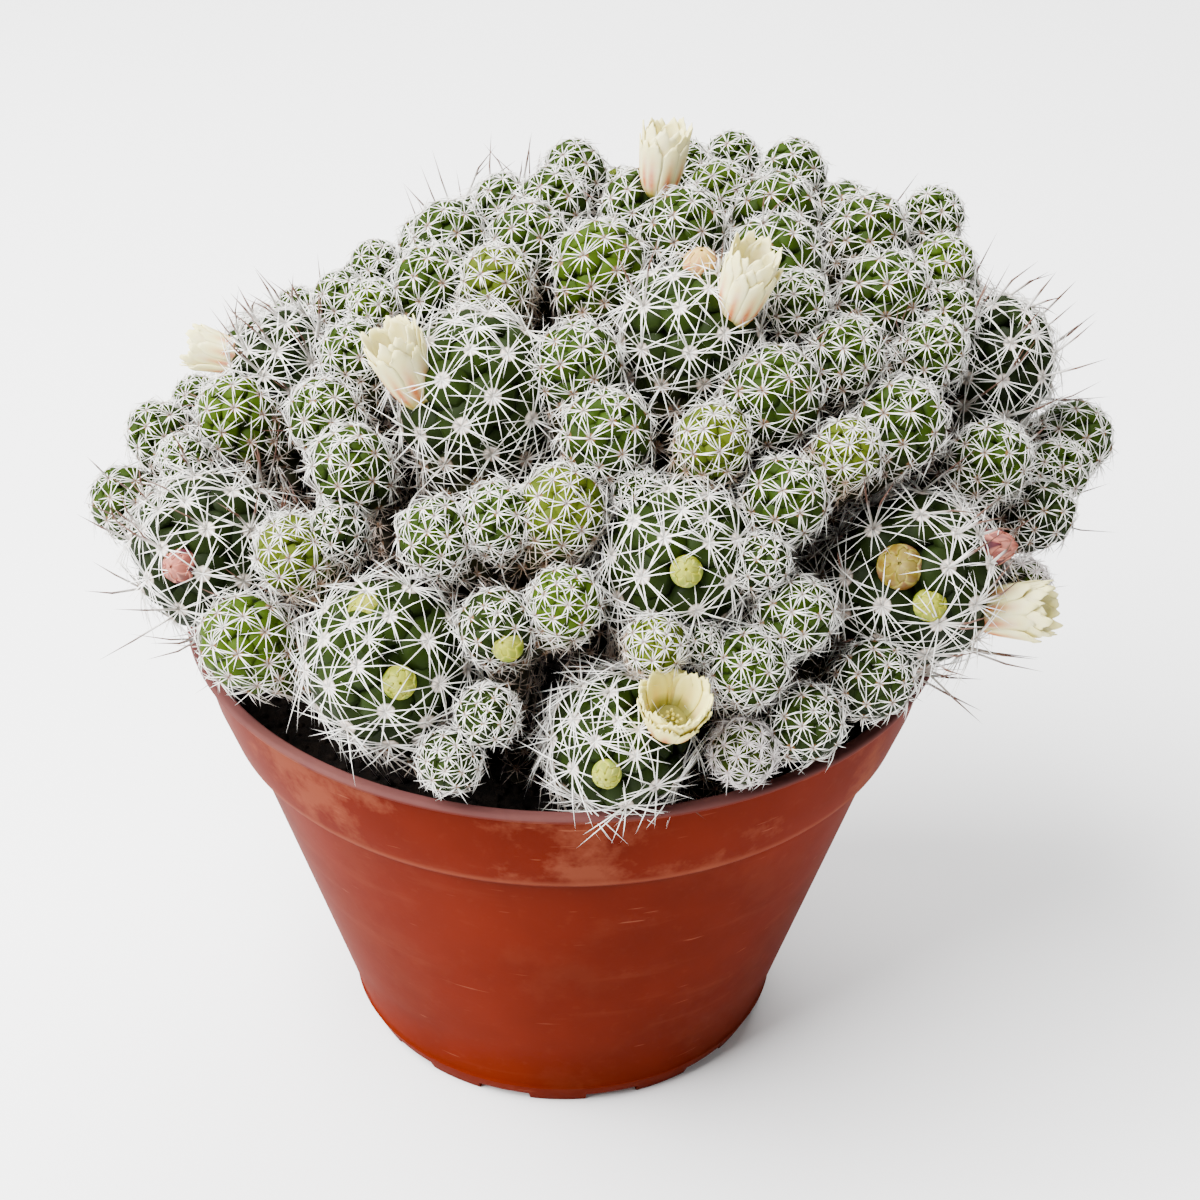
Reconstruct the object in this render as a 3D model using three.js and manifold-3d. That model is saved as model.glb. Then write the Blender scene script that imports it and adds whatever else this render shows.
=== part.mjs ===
import * as THREE from 'three';
import { ConvexGeometry } from 'three/addons/geometries/ConvexGeometry.js';
import { mergeVertices } from 'three/addons/utils/BufferGeometryUtils.js';
import Module from 'manifold-3d';

// A clump of thimble cactus in a thin plastic nursery pot.
// Millimetres, +Z up. The origin is the middle of the pot's foot, and the front of the clump faces -Y.
// A bearing is an angle round the pot in degrees: 0 is the front, 90 is +X, 180 is the back.
// A tilt is an angle down from the top of the clump.

const wasm = await Module();
wasm.setup();
const { Manifold, Mesh: SolidMesh } = wasm;

// ---- Pot ----
const POT_HEIGHT = 102.6;
const RIM_RADIUS = 80;
const BAND_FOOT_RADIUS = 72.7;
const BAND_HEIGHT = 22.1;
const BODY_TOP_RADIUS = 70.2;
const FOOT_RADIUS = 45.3;
const WALL = 1.6;
const LIP_HEIGHT = 1.6;
const LIP_WIDTH = 2;
const LIP_OVERHANG = 0.6;
const LIP_EDGE = 0.4;
const LIP_ROOM = 2.4;
const FOOT_RING_HEIGHT = 5.8;
const FOOT_RING_STEP = 0.6;
const FOOT_RING_FADE = 0.2;
const FOOT_INSET = 0.2;
const FLOOR_THICKNESS = 1.8;
const PAD_THICKNESS = 4.2;
const PAD_INNER_RADIUS = 33;
const PAD_SLOPE = 2;
const NOTCHES = 12;
const NOTCH_WIDTH = 11.5;
const NOTCH_HEIGHT = 2.4;
const NOTCH_DEPTH = 10;
const NOTCH_BEARING = 16;
const DRAIN_EVERY = 2;
const DRAIN_RADIUS = 3;
const DRAIN_CIRCLE_RADIUS = 40;
const DRAIN_SIDES = 8;
const POT_SIDES = 36;
const POT_DETAIL = 0.01;

// ---- Soil ----
const GAP = 0.3;
const SIDE_GAP = 1.5 * GAP;
const SOIL_LEVEL = 90;
const ROOT_DEPTH = 14;

// ---- Clump: the leaning dome that the spine tips reach ----
const DOME_CENTRE = new THREE.Vector3(-7, 0, 80);
const DOME_SIZE = new THREE.Vector3(113, 88, 113);
const LEAN_X = 0.31;
const LEAN_Y = 0.07;

// ---- Heads ----
const BODY_SHARE = 0.95;
const MATURE_RADIUS = 11.5;
const HEAD_LENGTH = 1.1;
const VALLEY_SHARE = 0.92;
const SMALL_HEAD = { corners: 8, spine: 4.6, lean: 58, centralEvery: Infinity, bareEvery: 2 };
const MATURE_HEAD = { corners: 16, spine: 8.6, lean: 56, centralEvery: 5, bareEvery: 7 };
const CENTRAL_SPINE = 10.5;
const CENTRAL_LEAN = 14;
const SPINE_SWIRL = 40;
const SPINE_FOOT = 0.45;
const SPINE_ROOM = 1.25;
const SPINE_CHECKS = [0.35, 0.7, 1];
const FIRST_CORNER = 0.35;
const NECK_ANGLE = 115;
const TOUCH = 0.01;
const UPRIGHT = 0.05;

// ---- Stems: rings and checks as shares of their length, necks as shares of the leading head ----
const STEM_COUNT = 42;
const STEM_SIDES = 5;
const STEM_RINGS = [0, 0.3, 0.65, 1];
const STEM_WIDTH_SHARE = 0.5;
const STEM_RADIUS_RANGE = [3, 5.5];
const THINNEST_STEM = 1.2;
const STEM_CHECKS = 24;
const STEM_BALLS = 16;
const STEM_DETAIL = 0.02;
const CORNER_GAP = 1.3;
const KNEE_SPREAD = 1.06;
const KNEE_HEIGHT = 8;
const KNEE_SHARE = 0.5;
const ROOT_SPREAD_X = 0.58;
const ROOT_SPREAD_Y = 0.76;
const ROOT_ROOM = 4.5;
const CROWN_DEPTH = 1.2;
const NECK_DEPTH = 1.9;
const NECK_DROP = 0.95;
const NECK_LOWEST = 0.6;
const NECK_PAST_MIDDLE = 0.8;
const NECK_CHECKS = [0, 0.25, 0.5, 0.75];

// Each row is one head: bearing, tilt, radius over its spines, and how far it stands out of the dome.
const FRONT_HEADS = [
  // mature, long-spined heads
  [-41, 33, 15.5, 0],
  [-92, 46, 12, 0],
  [-63, 62, 15, 0],
  [-25, 65, 15.5, 0],
  [6, 71, 15.6, 2],
  [8, 50, 15, 0],
  [4, 20, 13.5, 0],
  [47, 58, 16.5, 0],
  [88, 41, 13.5, 3],
  // left side
  [-97, 62, 7.3, 3],
  [-77, 57, 5.5, 0],
  [-93, 69, 8, 0],
  [-81, 51, 9, 0],
  [-95, 38, 6.2, 0],
  [-114, 38, 5.5, 0],
  [-80, 34, 5.5, 0],
  [-82, 28, 8.4, 0],
  [-103, 27, 8.2, 3],
  [-68, 38, 7, 0],
  [-59, 44, 7.8, 0],
  [-46, 47, 8.5, 0],
  [-44, 57, 8.5, 0],
  [-41, 53, 6, -4],
  [-43, 67, 9.5, 0],
  // front
  [-26, 51, 7.7, 0],
  [-19, 48, 7.3, 0],
  [-11, 46, 8.9, 0],
  [-6, 56, 7, 0],
  [-13, 59, 7.2, 0],
  [-9, 37, 9, 0],
  [-1, 43, 5, -6],
  [-21, 29, 8.8, 0],
  [-12, 73, 6.2, 0],
  [-10, 68, 6, 0],
  [6, 60, 6.1, 0],
  [18, 63, 8, 0],
  [12, 60, 4.6, -5],
  [19, 72, 6.2, 0],
  [26, 70, 7.4, 0],
  [23, 58, 7.9, 0],
  [17, 52, 5.8, 0],
  [21, 45, 8.2, 0],
  [9, 38, 7.5, 0],
  [21, 32, 9.5, 0],
  [31, 41, 6.6, 0],
  [45, 39, 9, 0],
  [39, 29, 7.5, 0],
  // top
  [-46, 14, 9.2, 0],
  [-90, 18, 8, 0],
  [-124, 25, 6.7, 3],
  [-125, 19, 7.7, 2],
  [-148, 25, 7.1, 6],
  [-132, 9, 7.3, 0],
  [-35, 3, 8.4, 0],
  [-176, 20, 6.5, 4],
  [171, 26, 6.8, 7],
  [152, 22, 7.1, 6],
  [170, 16, 7.4, 0],
  [131, 12, 8.8, 0],
  [134, 25, 7.8, 1],
  [98, 19, 8, 3],
  [110, 27, 6.5, 7],
  [91, 28, 7, 3],
  [77, 31, 7.2, 0],
  [61, 33, 7, 0],
  [73, 24, 10, 0],
  // right side
  [61, 48, 7.9, 0],
  [79, 56, 6.6, 1],
  [70, 58, 6.8, 0],
  [59, 63, 6.6, 1],
  [93, 58, 8.4, 5],
  [35, 67, 7.5, -1],
];
const BACK_MATURE_HEADS = [
  [118, 37, 15, 0],
  [164, 31, 14, 0],
  [-144, 35, 15, 0],
  [141, 55, 16, 0],
  [-170, 51, 16, 0],
  [-118, 56, 15, 0],
  [109, 67, 13, 0],
  [166, 69, 14.5, 1],
  [-143, 68, 14.5, 1],
];
// The back and the top are filled with small heads, the widest first, wherever one still finds room.
const FILL_RADII = [9.6, 8.4, 7.2, 6.2];
const FILL_PLACES = 700;
const FILL_BEARING = 97;
const FILL_FRONT_TILT = 30;
const FILL_TILTS = [3, 70];
const FILL_SQUEEZE = 0.93;
const GOLDEN_ANGLE = 137.508;

// ---- Flowers and buds: bearing and tilt of the foot, then where the tip points, length and width ----
const FLOWERS = [
  { place: [-46, 41], points: [-0.36, -0.1, 0.93], length: 18, width: 11, flare: 1 },
  { place: [-128, 5], points: [0.12, 0.1, 0.98], length: 15.5, width: 10, flare: 1 },
  { place: [53, 67], points: [0.95, -0.22, 0.23], length: 17, width: 11.5, flare: 1 },
  { place: [14, 24], points: [0.27, -0.1, 0.96], length: 17.5, width: 10.5, flare: 1 },
  { place: [12, 67], points: [0.15, -0.6, 0.79], length: 12.5, width: 12, flare: 1.15 },
  { place: [-94, 50], points: [-0.93, 0.1, 0.23], length: 13, width: 9, flare: 1 },
];
const BUDS = [
  { place: [0, 14], points: [0, -0.3, 0.95], length: 7, width: 6, colour: 0xdcb08a },
  { place: [33, 54], points: [-0.1, -0.75, 0.65], length: 6, width: 7.5, colour: 0xc0b45f },
  { place: [39, 61], points: [0.1, -0.8, 0.6], length: 5.5, width: 5.5, colour: 0x9fb04e },
  { place: [50, 55], points: [0.85, -0.4, 0.35], length: 10, width: 6, colour: 0xdba9a4 },
  { place: [-56, 63], points: [-0.3, -0.85, 0.4], length: 6, width: 6, colour: 0xc77f74 },
  { place: [-30, 58], points: [-0.2, -0.6, 0.78], length: 5.5, width: 6, colour: 0xc3c98a },
  { place: [-20, 66], points: [0.2, -0.85, 0.5], length: 5, width: 5.5, colour: 0xbdc566 },
  { place: [-6, 64], points: [-0.25, -0.7, 0.65], length: 5, width: 5, colour: 0xc9cc8c },
  { place: [4, 72], points: [0, -0.95, 0.25], length: 5, width: 4.5, colour: 0xb4bf5c },
  { place: [7, 53], points: [0, -0.8, 0.6], length: 5, width: 5, colour: 0xb9c063 },
];
const SEAT_SINK = 0.22;
const SEAT_GAP = 1.4 * GAP;
const SEAT_DEPTH = 3;
const BLOOM_CHECKS = [0.2, 0.4, 0.6, 0.8, 0.95];
const BLOOM_FOOT_WIDTH = 0.35;
const BLOOM_DETAIL = 0.005;
// Rings as shares of the length and of the half width. A pair gives a petal's tip and the notch beside it.
const FLOWER_RINGS = [
  [[0, 0.3], [0, 0.3]],
  [[0.4, 0.66], [0.4, 0.66]],
  [[1, 1], [0.7, 0.82]],
  [[0.62, 0.72], [0.62, 0.72]],
  [[0.68, 0.62], [0.96, 0.74]],
  [[0.4, 0.42], [0.4, 0.42]],
];
const FLOWER_THROAT = 0.3;
const FLARE_START = 0.4;
const PETALS = 8;
const BUD_RINGS = [[[0, 0.6], [0, 0.6]], [[0.4, 1], [0.4, 1]], [[0.82, 0.62], [0.82, 0.62]]];
const BUD_SIDES = 6;

// ---- Colours ----
const POT_LOOK = { color: 0xa94d2e, roughness: 0.5, metalness: 0 };
const SOIL_LOOK = { color: 0x1d1712, roughness: 0.95, metalness: 0 };
const CACTUS_LOOK = { color: 0x8ea37c, roughness: 0.7, metalness: 0 };
const PETAL_LOOK = { color: 0xf0e8c8, roughness: 0.55, metalness: 0 };
const BUD_ROUGHNESS = 0.55;

const clump = new THREE.Group();

// ---- Helpers ----

function solidOf(geometry) {
  const bare = geometry.clone();
  for (const name of Object.keys(bare.attributes)) {
    if (name !== 'position') bare.deleteAttribute(name);
  }
  const merged = mergeVertices(bare, 1e-4);
  return new Manifold(new SolidMesh({
    numProp: 3,
    vertProperties: new Float32Array(merged.attributes.position.array),
    triVerts: new Uint32Array(merged.index.array),
  }));
}

function geometryOf(solid) {
  const mesh = solid.getMesh();
  const geometry = new THREE.BufferGeometry();
  geometry.setAttribute('position', new THREE.BufferAttribute(mesh.vertProperties, 3));
  geometry.setIndex(new THREE.BufferAttribute(mesh.triVerts, 1));
  return geometry;
}

function largestPiece(solid) {
  const pieces = solid.decompose();
  pieces.sort((a, b) => b.volume() - a.volume());
  return pieces[0];
}

function addPiece(name, geometry, look) {
  const piece = new THREE.Mesh(geometry, new THREE.MeshStandardMaterial({ ...look, flatShading: true }));
  piece.name = name;
  clump.add(piece);
}

function meshFrom(points, faces) {
  const geometry = new THREE.BufferGeometry();
  geometry.setAttribute('position', new THREE.Float32BufferAttribute(points.flatMap((p) => p.toArray()), 3));
  geometry.setIndex(faces.flat());
  return geometry;
}

// Closed skin through rings of points, from a first pole to a last one.
function ringSkin(firstPole, rings, lastPole) {
  const sides = rings[0].length;
  const points = [firstPole, ...rings.flat(), lastPole];
  const at = (ring, side) => 1 + ring * sides + (side % sides);
  const faces = [];
  for (let side = 0; side < sides; side += 1) {
    faces.push([0, at(0, side + 1), at(0, side)]);
    for (let ring = 0; ring + 1 < rings.length; ring += 1) {
      faces.push([at(ring, side), at(ring, side + 1), at(ring + 1, side + 1)]);
      faces.push([at(ring, side), at(ring + 1, side + 1), at(ring + 1, side)]);
    }
    faces.push([at(rings.length - 1, side), at(rings.length - 1, side + 1), points.length - 1]);
  }
  return meshFrom(points, faces);
}

function acrossFrame(axis) {
  const helper = Math.abs(axis.z) < 0.9 ? new THREE.Vector3(0, 0, 1) : new THREE.Vector3(0, 1, 0);
  const u = new THREE.Vector3().crossVectors(helper, axis).normalize();
  const v = new THREE.Vector3().crossVectors(axis, u);
  return [u, v];
}

function domePoint(bearing, tilt, depth) {
  const b = THREE.MathUtils.degToRad(bearing);
  const t = THREE.MathUtils.degToRad(tilt);
  const point = new THREE.Vector3(
    (DOME_SIZE.x - depth) * Math.sin(b) * Math.sin(t),
    -(DOME_SIZE.y - depth) * Math.cos(b) * Math.sin(t),
    (DOME_SIZE.z - depth) * Math.cos(t),
  );
  point.x += LEAN_X * point.z;
  point.y += LEAN_Y * point.z;
  return point.add(DOME_CENTRE);
}

// ---- Pot and soil ----

const bandFoot = POT_HEIGHT - BAND_HEIGHT;

function lathe(profile) {
  const points = profile.map(([radius, height]) => new THREE.Vector2(radius, height));
  const geometry = new THREE.LatheGeometry(points, POT_SIDES);
  geometry.rotateX(Math.PI / 2);
  return solidOf(geometry);
}

function potSolid() {
  const wallSlope = (BODY_TOP_RADIUS - FOOT_RADIUS) / bandFoot;
  const ringTopRadius = FOOT_RADIUS + wallSlope * FOOT_RING_HEIGHT;
  let pot = lathe([
    [0, 0],
    [FOOT_RADIUS, 0],
    [ringTopRadius + FOOT_RING_STEP, FOOT_RING_HEIGHT],
    [ringTopRadius + FOOT_RING_FADE, FOOT_RING_HEIGHT + FOOT_RING_STEP],
    [BODY_TOP_RADIUS, bandFoot],
    [BAND_FOOT_RADIUS, bandFoot],
    [RIM_RADIUS - LIP_OVERHANG, POT_HEIGHT - LIP_HEIGHT],
    [RIM_RADIUS, POT_HEIGHT - LIP_HEIGHT / 2],
    [RIM_RADIUS - LIP_EDGE, POT_HEIGHT],
    [RIM_RADIUS - LIP_WIDTH, POT_HEIGHT],
    [RIM_RADIUS - LIP_OVERHANG - WALL, POT_HEIGHT - LIP_HEIGHT],
    [BAND_FOOT_RADIUS - WALL, bandFoot + WALL],
    [BODY_TOP_RADIUS - WALL, bandFoot],
    [FOOT_RADIUS - FOOT_INSET, PAD_THICKNESS],
    [PAD_INNER_RADIUS, PAD_THICKNESS],
    [PAD_INNER_RADIUS - PAD_SLOPE, FLOOR_THICKNESS],
    [0, FLOOR_THICKNESS],
  ]);
  for (let i = 0; i < NOTCHES; i += 1) {
    const turn = THREE.MathUtils.degToRad(NOTCH_BEARING + (i * 360) / NOTCHES);
    const notch = new THREE.BoxGeometry(NOTCH_WIDTH, 2 * NOTCH_DEPTH, 2 * NOTCH_HEIGHT);
    notch.translate(0, -FOOT_RADIUS, 0);
    notch.rotateZ(turn);
    pot = pot.subtract(solidOf(notch));
    if (i % DRAIN_EVERY) continue;
    const drain = new THREE.CylinderGeometry(DRAIN_RADIUS, DRAIN_RADIUS, 4 * PAD_THICKNESS, DRAIN_SIDES);
    drain.rotateX(Math.PI / 2);
    drain.translate(0, -DRAIN_CIRCLE_RADIUS, 0);
    drain.rotateZ(turn);
    pot = pot.subtract(solidOf(drain));
  }
  return pot.simplify(POT_DETAIL);
}

function soilSolid(roots) {
  const bandSlope = (RIM_RADIUS - LIP_OVERHANG - BAND_FOOT_RADIUS) / (BAND_HEIGHT - LIP_HEIGHT);
  const edgeRadius = BAND_FOOT_RADIUS - WALL + bandSlope * (SOIL_LEVEL - bandFoot - WALL) - SIDE_GAP;
  let soil = lathe([
    [0, FLOOR_THICKNESS + GAP],
    [PAD_INNER_RADIUS - PAD_SLOPE - SIDE_GAP, FLOOR_THICKNESS + GAP],
    [PAD_INNER_RADIUS - GAP / 2, PAD_THICKNESS + GAP],
    [FOOT_RADIUS - FOOT_INSET - SIDE_GAP, PAD_THICKNESS + GAP],
    [BODY_TOP_RADIUS - WALL - SIDE_GAP, bandFoot + GAP],
    [BAND_FOOT_RADIUS - WALL - SIDE_GAP, bandFoot + WALL + GAP],
    [edgeRadius, SOIL_LEVEL],
    [0, SOIL_LEVEL],
  ]);
  for (const root of roots) soil = soil.subtract(root);
  return soil.simplify(POT_DETAIL);
}

// ---- Heads: where they are, which stem bears them, and how wide they may grow ----

function makeHead([bearing, tilt, radius, lift]) {
  const centre = domePoint(bearing, tilt, radius - lift);
  const outer = domePoint(bearing, tilt, radius - lift - 1);
  return {
    centre,
    axis: outer.sub(centre).normalize(),
    radius,
    body: BODY_SHARE * radius,
    kind: radius > MATURE_RADIUS ? MATURE_HEAD : SMALL_HEAD,
  };
}

function listHeads() {
  const heads = [...FRONT_HEADS, ...BACK_MATURE_HEADS].map(makeHead);
  const [topTilt, hemTilt] = FILL_TILTS.map((tilt) => Math.cos(THREE.MathUtils.degToRad(tilt)));
  for (const radius of FILL_RADII) {
    for (let i = 0; i < FILL_PLACES; i += 1) {
      const bearing = ((i * GOLDEN_ANGLE) % 360) - 180;
      const height = topTilt + (hemTilt - topTilt) * ((i + 0.5) / FILL_PLACES);
      const tilt = THREE.MathUtils.radToDeg(Math.acos(height));
      if (Math.abs(bearing) < FILL_BEARING && tilt > FILL_FRONT_TILT) continue;
      const head = makeHead([bearing, tilt, radius, 0]);
      const free = heads.every((other) => (
        other.centre.distanceTo(head.centre) > FILL_SQUEEZE * (other.radius + head.radius)));
      if (free) heads.push(head);
    }
  }
  return heads;
}

function lipDistance(point) {
  return Math.hypot(Math.hypot(point.x, point.y) - RIM_RADIUS, point.z - POT_HEIGHT);
}

// Crowded heads press each other smaller, in proportion to their size, and the pot's lip presses them too.
function pressHeads(heads, blooms) {
  const pressed = heads.map((head) => {
    let share = Math.min(1, (lipDistance(head.centre) - LIP_ROOM) / head.body);
    for (const other of heads) {
      if (other === head) continue;
      const room = head.centre.distanceTo(other.centre) - 2 * GAP;
      share = Math.min(share, room / (head.body + other.body));
    }
    for (const bloom of blooms) {
      if (bloom.head === head) continue;
      for (const [point, radius] of bloom.outline) {
        share = Math.min(share, (head.centre.distanceTo(point) - radius - GAP) / head.body);
      }
    }
    return share * head.body;
  });
  heads.forEach((head, i) => {
    head.body = pressed[i];
  });
}

// A head's distance to another one's skin.
function skinDistance(from, to) {
  return from.centre.distanceTo(to.centre) - to.radius;
}

function rootOf(head) {
  return new THREE.Vector3(
    ROOT_SPREAD_X * head.centre.x,
    ROOT_SPREAD_Y * head.centre.y,
    SOIL_LEVEL - ROOT_DEPTH,
  );
}

// Mature heads crown a stem each, then the heads furthest from any stem whose root has room do.
function shareStems(heads) {
  const leaders = heads.filter((head) => head.kind === MATURE_HEAD);
  const nearest = (head) => leaders.reduce((best, leader) => (
    skinDistance(head, leader) < skinDistance(head, best) ? leader : best));
  const hasRoom = (head) => leaders.every((leader) => rootOf(head).distanceTo(rootOf(leader)) > ROOT_ROOM);
  while (leaders.length < STEM_COUNT) {
    const others = heads.filter((head) => !leaders.includes(head) && hasRoom(head));
    const apart = others.map((head) => skinDistance(head, nearest(head)));
    leaders.push(others[apart.indexOf(Math.max(...apart))]);
  }
  return leaders.map((leader) => ({
    leader,
    offsets: heads.filter((head) => !leaders.includes(head) && nearest(head) === leader),
  }));
}

function stemCurve(leader) {
  const root = rootOf(leader);
  const knee = root.clone().multiplyScalar(KNEE_SPREAD);
  knee.z = SOIL_LEVEL + KNEE_HEIGHT + KNEE_SHARE * (leader.centre.z - SOIL_LEVEL);
  return new THREE.QuadraticBezierCurve3(root, knee, leader.centre);
}

// A place on a stem, as a share of its way from the root to its top under the leading head.
function stemPlace(stem, share) {
  return share * (1 - (CROWN_DEPTH * stem.leader.body) / stem.length);
}

// Offsets grow out of the stem as far below its own head as they stand beside it, from past its middle.
function neckPlace(stem, head) {
  const own = NECK_DEPTH * stem.leader.body;
  const reach = Math.max(own, NECK_DROP * head.centre.distanceTo(stem.leader.centre));
  const middle = stem.curve.getPointAt(1 - Math.min(NECK_LOWEST, reach / stem.length));
  const inwards = middle.clone().sub(head.centre).normalize();
  return middle.addScaledVector(inwards, NECK_PAST_MIDDLE);
}

// A head and its tapering neck, as a row of balls.
function neckBalls(stem, head) {
  const end = neckPlace(stem, head);
  return NECK_CHECKS.map((share) => [head.centre.clone().lerp(end, share), (1 - share) * head.body]);
}

// The radius at each ring of a stem, held clear of the other stems and their heads.
function stemRadii(stem, stems) {
  const wanted = THREE.MathUtils.clamp(STEM_WIDTH_SHARE * stem.leader.body, ...STEM_RADIUS_RANGE);
  return STEM_RINGS.map((share) => {
    const point = stem.curve.getPointAt(stemPlace(stem, share));
    let radius = wanted;
    for (const other of stems) {
      if (other === stem) continue;
      for (const head of [other.leader, ...other.offsets]) {
        for (const [centre, thick] of neckBalls(other, head)) {
          radius = Math.min(radius, point.distanceTo(centre) - thick - 2 * GAP);
        }
      }
      for (const otherPoint of other.curve.getPoints(STEM_CHECKS)) {
        radius = Math.min(radius, (point.distanceTo(otherPoint) - 2 * GAP) / 2);
      }
    }
    return Math.max(radius, THINNEST_STEM);
  });
}

function stemSkin(stem, grow) {
  const sideways = new THREE.Vector3(0, 0, 1).cross(stem.curve.v2.clone().sub(stem.curve.v0));
  const rings = STEM_RINGS.map((share, i) => {
    const place = stemPlace(stem, share);
    const centre = stem.curve.getPointAt(place);
    const along = stem.curve.getTangentAt(place);
    const u = sideways.clone().addScaledVector(along, -sideways.dot(along)).normalize();
    const v = new THREE.Vector3().crossVectors(along, u);
    if (i === 0) centre.z -= grow;
    return Array.from({ length: STEM_SIDES }, (_, side) => {
      const angle = (side * 2 * Math.PI) / STEM_SIDES;
      const radius = stem.radii[i] + CORNER_GAP * grow;
      return centre.clone()
        .addScaledVector(u, radius * Math.cos(angle))
        .addScaledVector(v, radius * Math.sin(angle));
    });
  });
  const middle = (ring) => ring.reduce((sum, p) => sum.add(p), new THREE.Vector3()).divideScalar(STEM_SIDES);
  return solidOf(ringSkin(middle(rings[0]), rings, middle(rings[rings.length - 1])));
}

// ---- Heads: form ----

function skinPoint(head, direction, share) {
  const stretch = direction.dot(head.axis) * (HEAD_LENGTH - 1);
  const out = direction.clone().addScaledVector(head.axis, stretch);
  return head.centre.clone().addScaledVector(out, share * head.body);
}

const balls = [];
const keptSpines = [];

// A spine needs room to the pot, to every other head, neck and stem, to the blooms, and to other spines.
function spineIsFree(head, foot, tip) {
  const points = SPINE_CHECKS.map((share) => foot.clone().lerp(tip, share));
  if (tip.z < POT_HEIGHT + 2 * GAP && Math.hypot(tip.x, tip.y) < RIM_RADIUS + 2 * GAP) return false;
  for (const ball of balls) {
    if (ball.head === head) continue;
    if (points.some((point) => point.distanceTo(ball.centre) < ball.radius + 2 * GAP)) return false;
  }
  for (const spine of keptSpines) {
    if (spine.head === head) continue;
    if (spine.points.some((p) => points.some((q) => p.distanceTo(q) < SPINE_ROOM))) return false;
  }
  keptSpines.push({ head, points });
  return true;
}

// The corners between a head's tubercles, which spiral down from its tip, and its neck's end.
function headCorners(head, neckEnd) {
  const count = head.kind.corners;
  const [u, v] = acrossFrame(head.axis);
  const lowest = Math.cos(THREE.MathUtils.degToRad(NECK_ANGLE));
  const corners = [neckEnd];
  for (let i = 0; i < count; i += 1) {
    const height = 1 - ((1 - lowest) * (i + FIRST_CORNER)) / count;
    const across = Math.sqrt(1 - height * height);
    const turn = THREE.MathUtils.degToRad(i * GOLDEN_ANGLE);
    const direction = head.axis.clone().multiplyScalar(height)
      .addScaledVector(u, across * Math.cos(turn))
      .addScaledVector(v, across * Math.sin(turn));
    corners.push(skinPoint(head, direction, VALLEY_SHARE));
  }
  return corners;
}

// Where a tubercle's spine points: leaning down the head, and swirled round the tubercle.
function spinePointing(head, direction, leanAngle) {
  const down = direction.clone().multiplyScalar(direction.dot(head.axis)).sub(head.axis);
  if (down.length() < UPRIGHT) down.copy(acrossFrame(head.axis)[0]);
  down.normalize();
  const around = new THREE.Vector3().crossVectors(direction, down);
  const lean = THREE.MathUtils.degToRad(leanAngle);
  const swirl = THREE.MathUtils.degToRad(SPINE_SWIRL);
  return direction.clone().multiplyScalar(Math.cos(lean))
    .addScaledVector(down, Math.sin(lean) * Math.cos(swirl))
    .addScaledVector(around, Math.sin(lean) * Math.sin(swirl));
}

// The small triangle on top of a tubercle that its spine stands on.
function spineFoot(sides, middle, direction, top) {
  return sides.map((corner) => {
    const out = corner.clone().sub(middle);
    out.addScaledVector(direction, -out.dot(direction)).setLength(SPINE_FOOT);
    return out.add(top);
  });
}

// A head is a ball of tubercles. Each tubercle that has room for it bears a three-sided spine.
function headSkin(head, neckEnd) {
  const { kind } = head;
  const hull = new ConvexGeometry(headCorners(head, neckEnd)).attributes.position;
  const points = [];
  const faces = [];
  const add = (...more) => {
    const first = points.length;
    points.push(...more);
    return more.map((_, i) => first + i);
  };
  for (let face = 0; face < hull.count; face += 3) {
    const sides = [0, 1, 2].map((i) => new THREE.Vector3().fromBufferAttribute(hull, face + i));
    const [a, b, c] = add(...sides);
    if (sides.some((corner) => corner.distanceTo(neckEnd) < TOUCH)) {
      faces.push([a, b, c]);
      continue;
    }
    const middle = sides[0].clone().add(sides[1]).add(sides[2]).divideScalar(3);
    const direction = middle.clone().sub(head.centre).normalize();
    const top = skinPoint(head, direction, 1);
    const order = face / 3;
    const central = order % kind.centralEvery === 0;
    const bare = order % kind.bareEvery === 1;
    const pointing = spinePointing(head, direction, central ? CENTRAL_LEAN : kind.lean);
    const tip = top.clone().addScaledVector(pointing, central ? CENTRAL_SPINE : kind.spine);
    if (bare || !spineIsFree(head, top, tip)) {
      const [t] = add(top);
      faces.push([a, b, t], [b, c, t], [c, a, t]);
      continue;
    }
    const [fa, fb, fc, ft] = add(...spineFoot(sides, middle, direction, top), tip);
    faces.push([a, b, fb], [a, fb, fa], [b, c, fc], [b, fc, fb], [c, a, fa], [c, fa, fc]);
    faces.push([fa, fb, ft], [fb, fc, ft], [fc, fa, ft]);
  }
  return solidOf(meshFrom(points, faces));
}

function stemSolid(stem) {
  let solid = stemSkin(stem, 0);
  for (const head of [stem.leader, ...stem.offsets]) {
    solid = solid.add(headSkin(head, neckPlace(stem, head)));
  }
  return largestPiece(solid.simplify(STEM_DETAIL));
}

// ---- Flowers and buds ----

function placeBloom(spec, heads, rings) {
  const place = domePoint(...spec.place, SEAT_DEPTH);
  const head = heads.reduce((best, other) => (
    skinDistance({ centre: place }, other) < skinDistance({ centre: place }, best) ? other : best));
  const outwards = place.sub(head.centre).normalize();
  const axis = new THREE.Vector3(...spec.points).normalize();
  const foot = skinPoint(head, outwards, 1 - SEAT_SINK);
  const flare = spec.flare ?? 1;
  const outline = BLOOM_CHECKS.map((share) => [
    foot.clone().addScaledVector(axis, share * spec.length),
    (spec.width / 2) * flare * (BLOOM_FOOT_WIDTH + (1 - BLOOM_FOOT_WIDTH) * share),
  ]);
  return { ...spec, head, axis, foot, outline, rings, flare };
}

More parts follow.
